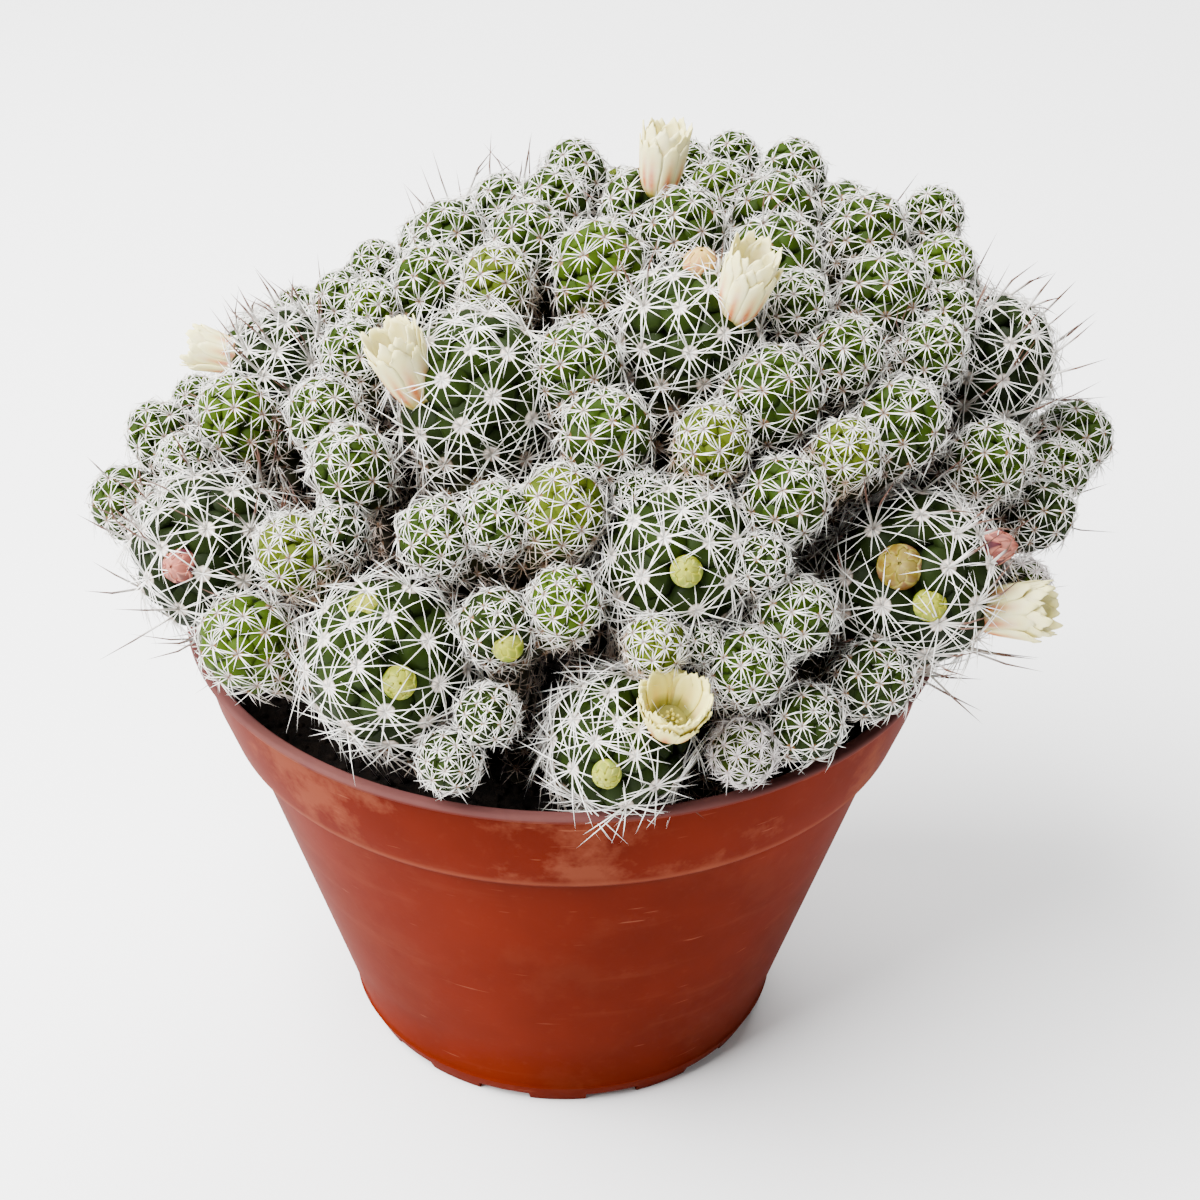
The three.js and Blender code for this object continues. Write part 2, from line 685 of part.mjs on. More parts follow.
function bloomSkin(bloom, sides, innerPole) {
  const [u, v] = acrossFrame(bloom.axis);
  const at = (share, radius, angle) => bloom.foot.clone()
    .addScaledVector(bloom.axis, share * bloom.length)
    .addScaledVector(u, radius * Math.cos(angle))
    .addScaledVector(v, radius * Math.sin(angle));
  const rings = bloom.rings.map((pair) => Array.from({ length: sides }, (_, side) => {
    const [share, wide] = pair[side % 2];
    const flare = THREE.MathUtils.mapLinear(Math.max(share, FLARE_START), FLARE_START, 1, 1, bloom.flare);
    return at(share, (wide * flare * bloom.width) / 2, (side * 2 * Math.PI) / sides);
  }));
  return solidOf(ringSkin(at(0, 0, 0), rings, at(innerPole, 0, 0)));
}

// A flower's foot follows the head that bears it, a small gap away.
function seatBloom(bloom, skin, stem) {
  const away = bloom.axis.clone().multiplyScalar(SEAT_GAP);
  const cut = skin.subtract(stem.solid.translate(away.toArray())).subtract(stem.solid);
  return largestPiece(cut.simplify(BLOOM_DETAIL));
}

// ---- Assembly ----

const allHeads = listHeads();
const flowers = FLOWERS.map((spec) => placeBloom(spec, allHeads, FLOWER_RINGS));
const buds = BUDS.map((spec) => placeBloom(spec, allHeads, BUD_RINGS));
const blooms = [...flowers, ...buds];
pressHeads(allHeads, blooms);
const stems = shareStems(allHeads);
for (const stem of stems) {
  stem.curve = stemCurve(stem.leader);
  stem.length = stem.curve.getLength();
}
for (const stem of stems) stem.radii = stemRadii(stem, stems);
for (const stem of stems) {
  for (const head of [stem.leader, ...stem.offsets]) {
    for (const [centre, radius] of neckBalls(stem, head)) balls.push({ head, centre, radius });
  }
  for (const centre of stem.curve.getPoints(STEM_BALLS)) {
    balls.push({ head: stem.leader, centre, radius: Math.max(...stem.radii) });
  }
}
for (const bloom of blooms) {
  for (const [centre, radius] of bloom.outline) balls.push({ centre, radius });
}
for (const stem of stems) stem.solid = stemSolid(stem);

addPiece('pot', geometryOf(potSolid()), POT_LOOK);
const roots = stems.map((stem) => stemSkin(stem, GAP));
addPiece('soil', geometryOf(soilSolid(roots)), SOIL_LOOK);
stems.forEach((stem, i) => {
  addPiece(`stem_${String(i + 1).padStart(2, '0')}`, geometryOf(stem.solid), CACTUS_LOOK);
});
const stemOf = (head) => stems.find((stem) => stem.leader === head || stem.offsets.includes(head));
flowers.forEach((flower, i) => {
  const skin = bloomSkin(flower, 2 * PETALS, FLOWER_THROAT);
  addPiece(`flower_${i + 1}`, geometryOf(seatBloom(flower, skin, stemOf(flower.head))), PETAL_LOOK);
});
buds.forEach((bud, i) => {
  const skin = bloomSkin(bud, BUD_SIDES, 1);
  const look = { color: bud.colour, roughness: BUD_ROUGHNESS, metalness: 0 };
  addPiece(`bud_${i + 1}`, geometryOf(seatBloom(bud, skin, stemOf(bud.head))), look);
});

export default clump;
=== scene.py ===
"""Looks of a potted clump of round cacti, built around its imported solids. Metres, +Z up."""

import copy
import math

import bmesh
import bpy
import numpy as np
from bpy.props import FloatProperty, FloatVectorProperty, IntProperty, PointerProperty
from bpy.types import Operator, Panel, PropertyGroup
from mathutils import Matrix, Vector, noise


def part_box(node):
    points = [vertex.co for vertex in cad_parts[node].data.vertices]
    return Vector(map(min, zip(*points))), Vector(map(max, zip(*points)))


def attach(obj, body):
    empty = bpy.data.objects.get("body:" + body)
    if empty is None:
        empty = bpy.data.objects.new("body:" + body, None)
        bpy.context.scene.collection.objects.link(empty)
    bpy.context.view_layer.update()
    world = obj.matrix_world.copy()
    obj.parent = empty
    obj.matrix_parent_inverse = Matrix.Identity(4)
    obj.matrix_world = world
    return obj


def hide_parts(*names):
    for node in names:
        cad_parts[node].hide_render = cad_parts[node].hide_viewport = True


bl_info = {
    "name": "Potted Round Cactus",
    "version": (1, 0, 0),
    "blender": (4, 5, 0),
    "location": "View3D > Sidebar > Cactus",
    "description": "Builds a clump of small round cacti in a plastic nursery pot",
    "category": "Object",
}

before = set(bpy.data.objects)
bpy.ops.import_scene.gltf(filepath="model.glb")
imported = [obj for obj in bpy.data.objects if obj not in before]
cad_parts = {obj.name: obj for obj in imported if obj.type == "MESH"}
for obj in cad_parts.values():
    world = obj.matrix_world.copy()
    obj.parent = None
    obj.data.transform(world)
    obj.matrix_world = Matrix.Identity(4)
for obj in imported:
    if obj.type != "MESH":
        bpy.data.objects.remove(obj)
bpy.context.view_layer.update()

# Sizes and places are in millimetres and become metres where a mesh is made. Angles that a table gives are in
# degrees, and random turns and leans in radians.
MM = 0.001
FULL_TURN = 6.28
NEARLY_UPRIGHT = 0.9

# ---- Pot ----
POT_HEIGHT = 102.6
RIM_RADIUS = 80
BAND_FOOT_RADIUS = 72.7
BAND_HEIGHT = 22.1
BODY_TOP_RADIUS = 70.2
FOOT_RADIUS = 45.3
WALL = 1.6
LIP_HEIGHT = 1.6
LIP_OVERHANG = 0.6
LIP_ROOM = 2.4
FOOT_RING_HEIGHT = 5.8
FOOT_RING_STEP = 0.6
FOOT_RING_FADE = 0.2
FOOT_INSET = 0.2
FLOOR_THICKNESS = 1.8
PAD_THICKNESS = 4.2
PAD_INNER_RADIUS = 33
PAD_SLOPE = 2
NOTCHES = 12
NOTCH_WIDTH = 11.5
NOTCH_HEIGHT = 2.4
NOTCH_DEPTH = 10
NOTCH_BEARING = 16

# The finer outline of the pot: its bends, the band's bulge and the lip.
FOOT_BEND = 0.7
RING_BEND = 0.3
BAND_BEND = 0.8
BODY_TOP_BEND = ((-0.1, -0.4), (0.3, 0))
BODY_RINGS = (20, 40, 60)
BODY_STRAIGHT_TO = 3
BAND_BULGE = 2.9
BAND_BULGE_HEIGHT = 9
LIP_INSET = 0.9
LIP_BEND = 0.8
LIP_FLAT = 1.3
LIP_INNER_BEND = 0.6
LIP_INNER_DROP = 1
SHARP_ANGLE = 38

# ---- Soil ----
GAP = 0.3
SOIL_LEVEL = 90
ROOT_DEPTH = 14
SOIL_SIDES = 96
SOIL_CIRCLES = 20
SOIL_INSET = 1
SOIL_EDGE_ROOM = 1.2
BAND_LEAN = 0.35
SOIL_RELIEF = 2.2
SOIL_PATCH = 14
SOIL_FRACTAL = (0.8, 2.0, 4)
SOIL_SEED = 3
FLAT_ENOUGH = 0.6
CLOD_SIZES = (0.35, 1.3)
CLOD_LUMPS = 0.5
CLOD_LUMP_SCALE = 3.1
CLOD_FLATNESS = 0.7

# ---- Clump: the leaning dome that the spine tips reach ----
DOME_CENTRE = np.array([-7.0, 0.0, 80.0])
DOME_SIZE = (113, 88, 113)
LEAN_X = 0.31
LEAN_Y = 0.07

# ---- Heads ----
BODY_SHARE = 0.95
GROWN_RADIUS = 11.5
HEAD_LENGTH = 1.1
GROWTH_LIFT = 0.5
STEM_COUNT = 42
ROOT_SPREAD_X = 0.58
ROOT_SPREAD_Y = 0.76
ROOT_ROOM = 4.5
CROWN_DEPTH = 1.2
NECK_DEPTH = 1.9
NECK_DROP = 0.95
NECK_LOWEST = 0.6
NECK_PAST_MIDDLE = 0.8
NECK_CHECKS = (0, 0.25, 0.5, 0.75)
KNEE_SPREAD = 1.06
KNEE_HEIGHT = 8
KNEE_SHARE = 0.5
STEM_RINGS = (0, 0.3, 0.65, 1)
STEM_STEPS = 200
STEM_CHECKS = 24
STEM_WIDTH_SHARE = 0.5
STEM_RADIUS_RANGE = (3, 5.5)
THINNEST_STEM = 1.2

# Each row is one head: bearing and tilt on the dome, radius over its spines, and where they aren't 0 and
# plain, how far it stands out of the dome and its look.
FRONT_HEADS = [
    (-41, 33, 15.5),
    (-92, 46, 12, 0, "bristly"),
    (-63, 62, 15, 0, "bristly"),
    (-25, 65, 15.5),
    (6, 71, 15.6, 2),
    (8, 50, 15),
    (4, 20, 13.5),
    (47, 58, 16.5, 0, "bristly"),
    (88, 41, 13.5, 3, "bristly"),
    (-97, 62, 7.3, 3),
    (-77, 57, 5.5),
    (-93, 69, 8),
    (-81, 51, 9, 0, "bright"),
    (-95, 38, 6.2),
    (-114, 38, 5.5),
    (-80, 34, 5.5, 0, "bright"),
    (-82, 28, 8.4),
    (-103, 27, 8.2, 3),
    (-68, 38, 7),
    (-59, 44, 7.8),
    (-46, 47, 8.5),
    (-44, 57, 8.5, 0, "yellow"),
    (-41, 53, 6, -4, "dark"),
    (-43, 67, 9.5, 0, "bright"),
    (-26, 51, 7.7),
    (-19, 48, 7.3),
    (-11, 46, 8.9, 0, "yellow"),
    (-6, 56, 7, 0, "bright"),
    (-13, 59, 7.2, 0, "dark"),
    (-9, 37, 9),
    (-1, 43, 5, -6, "dark"),
    (-21, 29, 8.8),
    (-12, 73, 6.2, 0, "dark"),
    (-10, 68, 6, 0, "dark"),
    (6, 60, 6.1, 0, "yellow"),
    (18, 63, 8),
    (12, 60, 4.6, -5, "dark"),
    (19, 72, 6.2, 0, "ashen"),
    (26, 70, 7.4, 0, "dark"),
    (23, 58, 7.9),
    (17, 52, 5.8, 0, "dark"),
    (21, 45, 8.2),
    (9, 38, 7.5, 0, "yellow"),
    (21, 32, 9.5),
    (31, 41, 6.6, 0, "yellow"),
    (45, 39, 9),
    (39, 29, 7.5),
    (-46, 14, 9.2, 0, "bright"),
    (-90, 18, 8),
    (-124, 25, 6.7, 3),
    (-125, 19, 7.7, 2),
    (-148, 25, 7.1, 6),
    (-132, 9, 7.3),
    (-35, 3, 8.4),
    (-176, 20, 6.5, 4),
    (171, 26, 6.8, 7),
    (152, 22, 7.1, 6),
    (170, 16, 7.4, 0, "bright"),
    (131, 12, 8.8),
    (134, 25, 7.8, 1),
    (98, 19, 8, 3),
    (110, 27, 6.5, 7),
    (91, 28, 7, 3, "bright"),
    (77, 31, 7.2),
    (61, 33, 7),
    (73, 24, 10),
    (61, 48, 7.9),
    (79, 56, 6.6, 1),
    (70, 58, 6.8, 0, "dark"),
    (59, 63, 6.6, 1, "ashen"),
    (93, 58, 8.4, 5),
    (35, 67, 7.5, -1, "dark"),
]
BACK_GROWN_HEADS = [
    (118, 37, 15),
    (164, 31, 14),
    (-144, 35, 15, 0, "bristly"),
    (141, 55, 16),
    (-170, 51, 16),
    (-118, 56, 15),
    (109, 67, 13, 0, "bristly"),
    (166, 69, 14.5, 1),
    (-143, 68, 14.5, 1),
]
FILL_RADII = (9.6, 8.4, 7.2, 6.2)
FILL_PLACES = 700
FILL_BEARING = 97
FILL_FRONT_TILT = 30
FILL_TILTS = (3, 70)
FILL_SQUEEZE = 0.93
FILL_LOOKS = ("plain", "bright", "plain", "dark", "plain", "yellow", "plain")
GOLDEN_ANGLE = 137.508

# ---- Flowers and buds: bearing and tilt of the foot, where the tip points, length and width ----
# A flower goes on with its flare, the angle that it bends up by and how yellow it is; a bud, with its look.
FLOWERS = [
    ((-46, 41), (-0.36, -0.1, 0.93), 18, 11, 1),
    ((-128, 5), (0.12, 0.1, 0.98), 15.5, 10, 1),
    ((53, 67), (0.95, -0.22, 0.23), 17, 11.5, 1),
    ((14, 24), (0.27, -0.1, 0.96), 17.5, 10.5, 1),
    ((12, 67), (0.15, -0.6, 0.79), 12.5, 12, 1.15, 0.45, 1),
    ((-94, 50), (-0.93, 0.1, 0.23), 13, 9, 1),
]
BUDS = [
    ((0, 14), (0, -0.3, 0.95), 7, 6, "bud_peach"),
    ((33, 54), (-0.1, -0.75, 0.65), 6, 7.5, "bud_yellow"),
    ((39, 61), (0.1, -0.8, 0.6), 5.5, 5.5, "bud_green"),
    ((50, 55), (0.85, -0.4, 0.35), 10, 6, "bud_pink"),
    ((-56, 63), (-0.3, -0.85, 0.4), 6, 6, "bud_pink"),
    ((-30, 58), (-0.2, -0.6, 0.78), 5.5, 6, "bud_green"),
    ((-20, 66), (0.2, -0.85, 0.5), 5, 5.5, "bud_green"),
    ((-6, 64), (-0.25, -0.7, 0.65), 5, 5, "bud_green"),
    ((4, 72), (0, -0.95, 0.25), 5, 4.5, "bud_green"),
    ((7, 53), (0, -0.8, 0.6), 5, 5, "bud_green"),
]
SEAT_SINK = 0.22
SEAT_DEPTH = 3
BLOOM_CHECKS = (0.2, 0.4, 0.6, 0.8, 0.95)
BLOOM_FOOT_WIDTH = 0.35
BLOOM_SEED = 11

# ---- Stage, in metres: a light has its place and its width ----
FLOOR_HALF = 3
LIGHT_AIM = (0, 0, 0.1)
KEY_LIGHT = ((-0.7, -0.28, 1.0), 1.3)
FILL_LIGHT = ((0.8, -0.7, 0.55), 0.9)
BACK_LIGHT = ((0.15, 0.75, 1.1), 0.9)

# ---- Camera, fitted to the photograph: metres and radians ----
CAMERA_PLACE = (0.0185, -0.4687, 0.3945)
CAMERA_PITCH = 0.5593
CAMERA_YAW = -0.0241
CAMERA_ROLL = 0.016
FOCAL_PIXELS = 2600
PHOTO_PIXELS = 1200
SENSOR_MM = 36


# ======== Settings ========


def colour_setting(name, description, default):
    return FloatVectorProperty(
        name=name, description=description, subtype="COLOR", min=0, max=1, default=default)


class PotSettings(PropertyGroup):
    plastic: colour_setting("Plastic", "Colour of the pot", (0.09, 0.006, 0.0))
    shade: colour_setting("Shade", "Deeper colour that the plastic varies to", (0.056, 0.0035, 0.0))
    film: colour_setting("Film", "Pale film of dried water and scuffs", (0.21, 0.064, 0.032))
    sides: IntProperty(name="Sides", description="Faces round the pot", default=180, min=36)


class SoilSettings(PropertyGroup):
    clods: FloatProperty(
        name="Clods", description="Clods on a square metre of soil", default=90000, min=0)
    clod_size: FloatProperty(
        name="Clod Size", description="Width of a clod", default=0.0026, min=0.0005, unit="LENGTH")
    # Near-black: real dark soil, darkened further as painted shade.
    colour: colour_setting("Soil", "Colour of the soil", (0.003, 0.0022, 0.0018))


class ClumpSettings(PropertyGroup):
    flesh_share: FloatProperty(
        name="Flesh", description="Flesh as a share of a small head's solid", default=1.03)
    grown_share: FloatProperty(
        name="Grown Flesh", description="Flesh as a share of a grown head's solid", default=1.09)
    spine_lean: FloatProperty(
        name="Spine Lean", description="Angle between a spine and its tubercle", subtype="ANGLE",
        default=math.radians(79))
    lean_spread: FloatProperty(
        name="Lean Spread", description="How far the lean varies", subtype="ANGLE", default=math.radians(11))
    spine_thickness: FloatProperty(
        name="Spine Thickness", description="Thickness of a small head's spine", unit="LENGTH",
        default=0.00025)
    grown_thickness: FloatProperty(
        name="Grown Thickness", description="Thickness of a grown head's spine", unit="LENGTH",
        default=0.00031)
    central_share: FloatProperty(
        name="Central Length", description="Central spines against the others", default=1.5)
    seed: IntProperty(name="Seed", description="Fixes every random draw", default=7)


class BloomSettings(PropertyGroup):
    cream: colour_setting("Cream", "Colour of the petals", (0.76, 0.69, 0.31))
    blush: colour_setting("Blush", "Colour of the streaks on the petals", (0.5, 0.14, 0.04))
    petals: IntProperty(name="Petals", description="Petals in one layer", default=9, min=4)


class StageSettings(PropertyGroup):
    floor: colour_setting("Floor", "Colour of the floor", (0.92, 0.92, 0.92))
    key: FloatProperty(name="Key Light", description="Power of the key light", default=114, unit="POWER")
    fill: FloatProperty(name="Fill Light", description="Power of the fill light", default=2.5, unit="POWER")
    back: FloatProperty(name="Back Light", description="Power of the light behind", default=30, unit="POWER")
    sky: FloatProperty(name="Sky", description="Strength of the surrounding light", default=0.2)


# ======== Where the heads, stems and blooms are ========


def unit(vector):
    return vector / np.linalg.norm(vector)


def across_frame(axis):
    """Two directions square to an axis and to each other."""
    helper = np.array([0.0, 0.0, 1.0]) if abs(axis[2]) < NEARLY_UPRIGHT else np.array([0.0, 1.0, 0.0])
    u = unit(np.cross(helper, axis))
    return u, np.cross(axis, u)


def dome_point(bearing, tilt, depth):
    b, t = math.radians(bearing), math.radians(tilt)
    x = (DOME_SIZE[0] - depth) * math.sin(b) * math.sin(t)
    y = -(DOME_SIZE[1] - depth) * math.cos(b) * math.sin(t)
    z = (DOME_SIZE[2] - depth) * math.cos(t)
    return DOME_CENTRE + np.array([x + LEAN_X * z, y + LEAN_Y * z, z])


class Head:
    """One round head of the clump."""

    def __init__(self, bearing, tilt, radius, lift=0, look="plain"):
        self.centre = dome_point(bearing, tilt, radius - lift)
        self.axis = unit(dome_point(bearing, tilt, radius - lift - 1) - self.centre)
        self.growth = unit(self.axis + [0, 0, GROWTH_LIFT])
        self.radius = radius
        self.body = BODY_SHARE * radius
        self.plump = self.body
        self.grown = radius > GROWN_RADIUS
        self.look = look

    def skin(self, direction, share):
        stretch = float(direction @ self.axis) * (HEAD_LENGTH - 1)
        return self.centre + share * self.body * (direction + stretch * self.axis)

    def crown(self, tilt, out, size):
        """A place on the upper half, down from the growing tip towards a direction square to it."""
        rise = HEAD_LENGTH * math.cos(tilt) * self.growth
        return self.centre + size * (rise + math.sin(tilt) * out)


def distance(a, b):
    return float(np.linalg.norm(a - b))


def skin_distance(point, head):
    return distance(point, head.centre) - head.radius


def list_heads():
    """The heads read from the photograph, then the back and the top filled, widest heads first."""
    heads = [Head(*row) for row in FRONT_HEADS + BACK_GROWN_HEADS]
    top, hem = (math.cos(math.radians(tilt)) for tilt in FILL_TILTS)
    for radius in FILL_RADII:
        for i in range(FILL_PLACES):
            bearing = (i * GOLDEN_ANGLE) % 360 - 180
            tilt = math.degrees(math.acos(top + (hem - top) * (i + 0.5) / FILL_PLACES))
            if abs(bearing) < FILL_BEARING and tilt > FILL_FRONT_TILT:
                continue
            head = Head(bearing, tilt, radius, look=FILL_LOOKS[i % len(FILL_LOOKS)])
            if all(distance(other.centre, head.centre) > FILL_SQUEEZE * (other.radius + head.radius)
                   for other in heads):
                heads.append(head)
    return heads


class Bloom:
    """A flower or bud: the head that bears it, its foot and its axis."""

    def __init__(self, heads, place, points, length, width, flare=1, bend=0, yellow=0):
        spot = dome_point(*place, SEAT_DEPTH)
        self.head = min(heads, key=lambda head: skin_distance(spot, head))
        self.axis = unit(np.array(points, float))
        self.foot = self.head.skin(unit(spot - self.head.centre), 1 - SEAT_SINK)
        self.length = length
        self.half = width / 2
        self.flare = flare
        self.bend = bend
        self.yellow = yellow
        self.outline = [
            (self.foot + share * length * self.axis,
             self.half * flare * (BLOOM_FOOT_WIDTH + (1 - BLOOM_FOOT_WIDTH) * share))
            for share in BLOOM_CHECKS]


def lip_distance(point):
    return math.hypot(math.hypot(point[0], point[1]) - RIM_RADIUS, point[2] - POT_HEIGHT)


def press_heads(heads, blooms):
    """Crowded heads press each other smaller, in proportion to their size, and the pot's lip does too.

    A head's plump size leaves out its neighbours, which it touches with its spines.
    """
    pressed = []
    for head in heads:
        share = min(1, (lip_distance(head.centre) - LIP_ROOM) / head.body)
        for bloom in blooms:
            if bloom.head is not head:
                for point, radius in bloom.outline:
                    share = min(share, (distance(head.centre, point) - radius - GAP) / head.body)
        head.plump = share * head.body
        for other in heads:
            if other is not head:
                room = distance(head.centre, other.centre) - 2 * GAP
                share = min(share, room / (head.body + other.body))
        pressed.append(share * head.body)
    for head, body in zip(heads, pressed):
        head.body = body


def root_of(head):
    x, y, _ = head.centre
    return np.array([ROOT_SPREAD_X * x, ROOT_SPREAD_Y * y, SOIL_LEVEL - ROOT_DEPTH])


class Stem:
    """A stem in the soil: a curve from its root to its leading head, and the heads that grow out of it."""

    def __init__(self, leader):
        self.leader = leader
        self.offsets = []
        root = root_of(leader)
        knee = KNEE_SPREAD * root
        knee[2] = SOIL_LEVEL + KNEE_HEIGHT + KNEE_SHARE * (leader.centre[2] - SOIL_LEVEL)
        self.ends = (root, knee, leader.centre)
        self.steps = np.linspace(0, 1, STEM_STEPS + 1)
        path = np.array([self.at(t) for t in self.steps])
        self.run = np.concatenate([[0], np.cumsum(np.linalg.norm(np.diff(path, axis=0), axis=1))])
        self.length = self.run[-1]

    def at(self, t):
        a, b, c = self.ends
        return (1 - t) ** 2 * a + 2 * t * (1 - t) * b + t * t * c

    def along(self, share):
        """The point and direction at a share of the stem's length."""
        t = float(np.interp(share * self.length, self.run, self.steps))
        a, b, c = self.ends
        return self.at(t), unit((1 - t) * (b - a) + t * (c - b))

    def place(self, share):
        return share * (1 - CROWN_DEPTH * self.leader.body / self.length)

    def neck(self, head):
        """Where a head's neck ends: as far below the stem's own head as the head stands beside it."""
        reach = max(NECK_DEPTH * self.leader.body, NECK_DROP * distance(head.centre, self.leader.centre))
        middle, _ = self.along(1 - min(NECK_LOWEST, reach / self.length))
        return middle + NECK_PAST_MIDDLE * unit(middle - head.centre)

    def neck_balls(self, head):
        end = self.neck(head)
        return [(head.centre + share * (end - head.centre), (1 - share) * head.body)
                for share in NECK_CHECKS]


def share_stems(heads):
    """Grown heads crown a stem each, then the heads furthest from any stem whose root has room do."""
    leaders = [head for head in heads if head.grown]

    def nearest(head):
        return min(leaders, key=lambda leader: skin_distance(head.centre, leader))

    while len(leaders) < STEM_COUNT:
        others = [head for head in heads if head not in leaders
                  and all(distance(root_of(head), root_of(leader)) > ROOT_ROOM for leader in leaders)]
        leaders.append(max(others, key=lambda head: skin_distance(head.centre, nearest(head))))
    stems = [Stem(leader) for leader in leaders]
    for head in heads:
        if head not in leaders:
            stems[leaders.index(nearest(head))].offsets.append(head)
    return stems


def stem_radii(stem, stems):
    """The radius at each ring of a stem, held clear of the other stems and their heads."""
    thinnest, thickest = STEM_RADIUS_RANGE
    wanted = min(max(STEM_WIDTH_SHARE * stem.leader.body, thinnest), thickest)
    others = [other for other in stems if other is not stem]
    balls = [ball for other in others for head in [other.leader] + other.offsets
             for ball in other.neck_balls(head)]
    paths = [other.at(t) for other in others for t in np.linspace(0, 1, STEM_CHECKS + 1)]
    radii = []
    for share in STEM_RINGS:
        point, _ = stem.along(stem.place(share))
        clear = [distance(point, centre) - thick - 2 * GAP for centre, thick in balls]
        clear += [(distance(point, other) - 2 * GAP) / 2 for other in paths]
        radii.append(max(min([wanted] + clear), THINNEST_STEM))
    return radii


HEADS = list_heads()
FLOWER_BLOOMS = [Bloom(HEADS, *row) for row in FLOWERS]
BUD_BLOOMS = [Bloom(HEADS, *row[:4]) for row in BUDS]
ALL_BLOOMS = FLOWER_BLOOMS + BUD_BLOOMS
press_heads(HEADS, ALL_BLOOMS)
STEMS = share_stems(HEADS)


# ======== Node helpers ========


class Wire:
    """A value that flows between nodes. Sums on it add Math nodes."""

    def __init__(self, graph, socket):
        self.graph = graph
        self.socket = socket

    def math(self, operation, *values):
        return self.graph.wire("ShaderNodeMath", {"operation": operation}, dict(enumerate(values)))

    def __add__(self, other):
        return self.math("ADD", self, other)

    def __sub__(self, other):
        return self.math("SUBTRACT", self, other)

    def __mul__(self, other):
        return self.math("MULTIPLY", self, other)

    def __truediv__(self, other):
        return self.math("DIVIDE", self, other)

    def __radd__(self, other):
        return self.math("ADD", other, self)

    def __rsub__(self, other):
        return self.math("SUBTRACT", other, self)

    def __rmul__(self, other):
        return self.math("MULTIPLY", other, self)

    def __rtruediv__(self, other):
        return self.math("DIVIDE", other, self)

    def clamped(self):
        return self.graph.wire("ShaderNodeClamp", {}, {"Value": self})


class Graph:
    """Adds nodes to one tree. Settings are set first, then each input gets a value or a link."""

    def __init__(self, tree):
        self.tree = tree

    def node(self, kind, settings=None, values=None):
        made = self.tree.nodes.new(kind)
        for name, value in (settings or {}).items():
            if name == "stops":
                self.set_stops(made.color_ramp, value)
            else:
                setattr(made, name, value)
        for key, value in (values or {}).items():
            if isinstance(value, Wire):
                self.tree.links.new(value.socket, made.inputs[key])
            else:
                made.inputs[key].default_value = value
        return made

    def set_stops(self, ramp, stops):
        while len(ramp.elements) < len(stops):
            ramp.elements.new(0.5)
        for element, (position, value) in zip(ramp.elements, stops):
            element.position = position
            element.color = (value, value, value, 1)

    def wire(self, kind, settings=None, values=None, output=0):
        return Wire(self, self.node(kind, settings, values).outputs[output])


class Material(Graph):
    """A procedural material on Object coordinates and the piece's own attributes."""

    def __init__(self, name):
        self.material = bpy.data.materials.new(name)
        self.material.use_nodes = True
        super().__init__(self.material.node_tree)
        self.tree.nodes.clear()
        self.place = self.wire("ShaderNodeTexCoord", output="Object")

    def attribute(self, name):
        return self.wire("ShaderNodeAttribute", {"attribute_name": name}, output="Fac")

    def noise(self, scale, detail=3, roughness=0.55, place=None):
        values = {"Vector": place or self.place, "Scale": scale, "Detail": detail, "Roughness": roughness}
        return self.wire("ShaderNodeTexNoise", {}, values)

    def ramp(self, value, *stops):
        return self.wire("ShaderNodeValToRGB", {"stops": stops}, {"Fac": value}, "Color")

    def stretched(self, x, y, z):
        return self.wire("ShaderNodeMapping", {}, {"Vector": self.place, "Scale": (x, y, z)})

    def mix(self, factor, first, second, blend="MIX"):
        colours = [value if isinstance(value, Wire) else (*value, 1) for value in (first, second)]
        settings = {"data_type": "RGBA", "blend_type": blend, "clamp_factor": True}
        return self.wire("ShaderNodeMix", settings, {0: factor, 6: colours[0], 7: colours[1]}, 2)

    def bump(self, height, distance_mm, strength=1.0, below=None):
        values = {"Height": height, "Distance": distance_mm * MM, "Strength": strength}
        if below:
            values["Normal"] = below
        return self.wire("ShaderNodeBump", {}, values)

    def surface(self, **values):
        """Ends the material. Values are named after the shader's sockets, with _ for a space."""
        named = {key.replace("_", " "): value for key, value in values.items()}
        if not isinstance(named["Base Color"], Wire):
            named["Base Color"] = (*named["Base Color"], 1)
        shader = self.wire("ShaderNodeBsdfPrincipled", {}, named)
        self.node("ShaderNodeOutputMaterial", {}, {"Surface": shader})
        return self.material


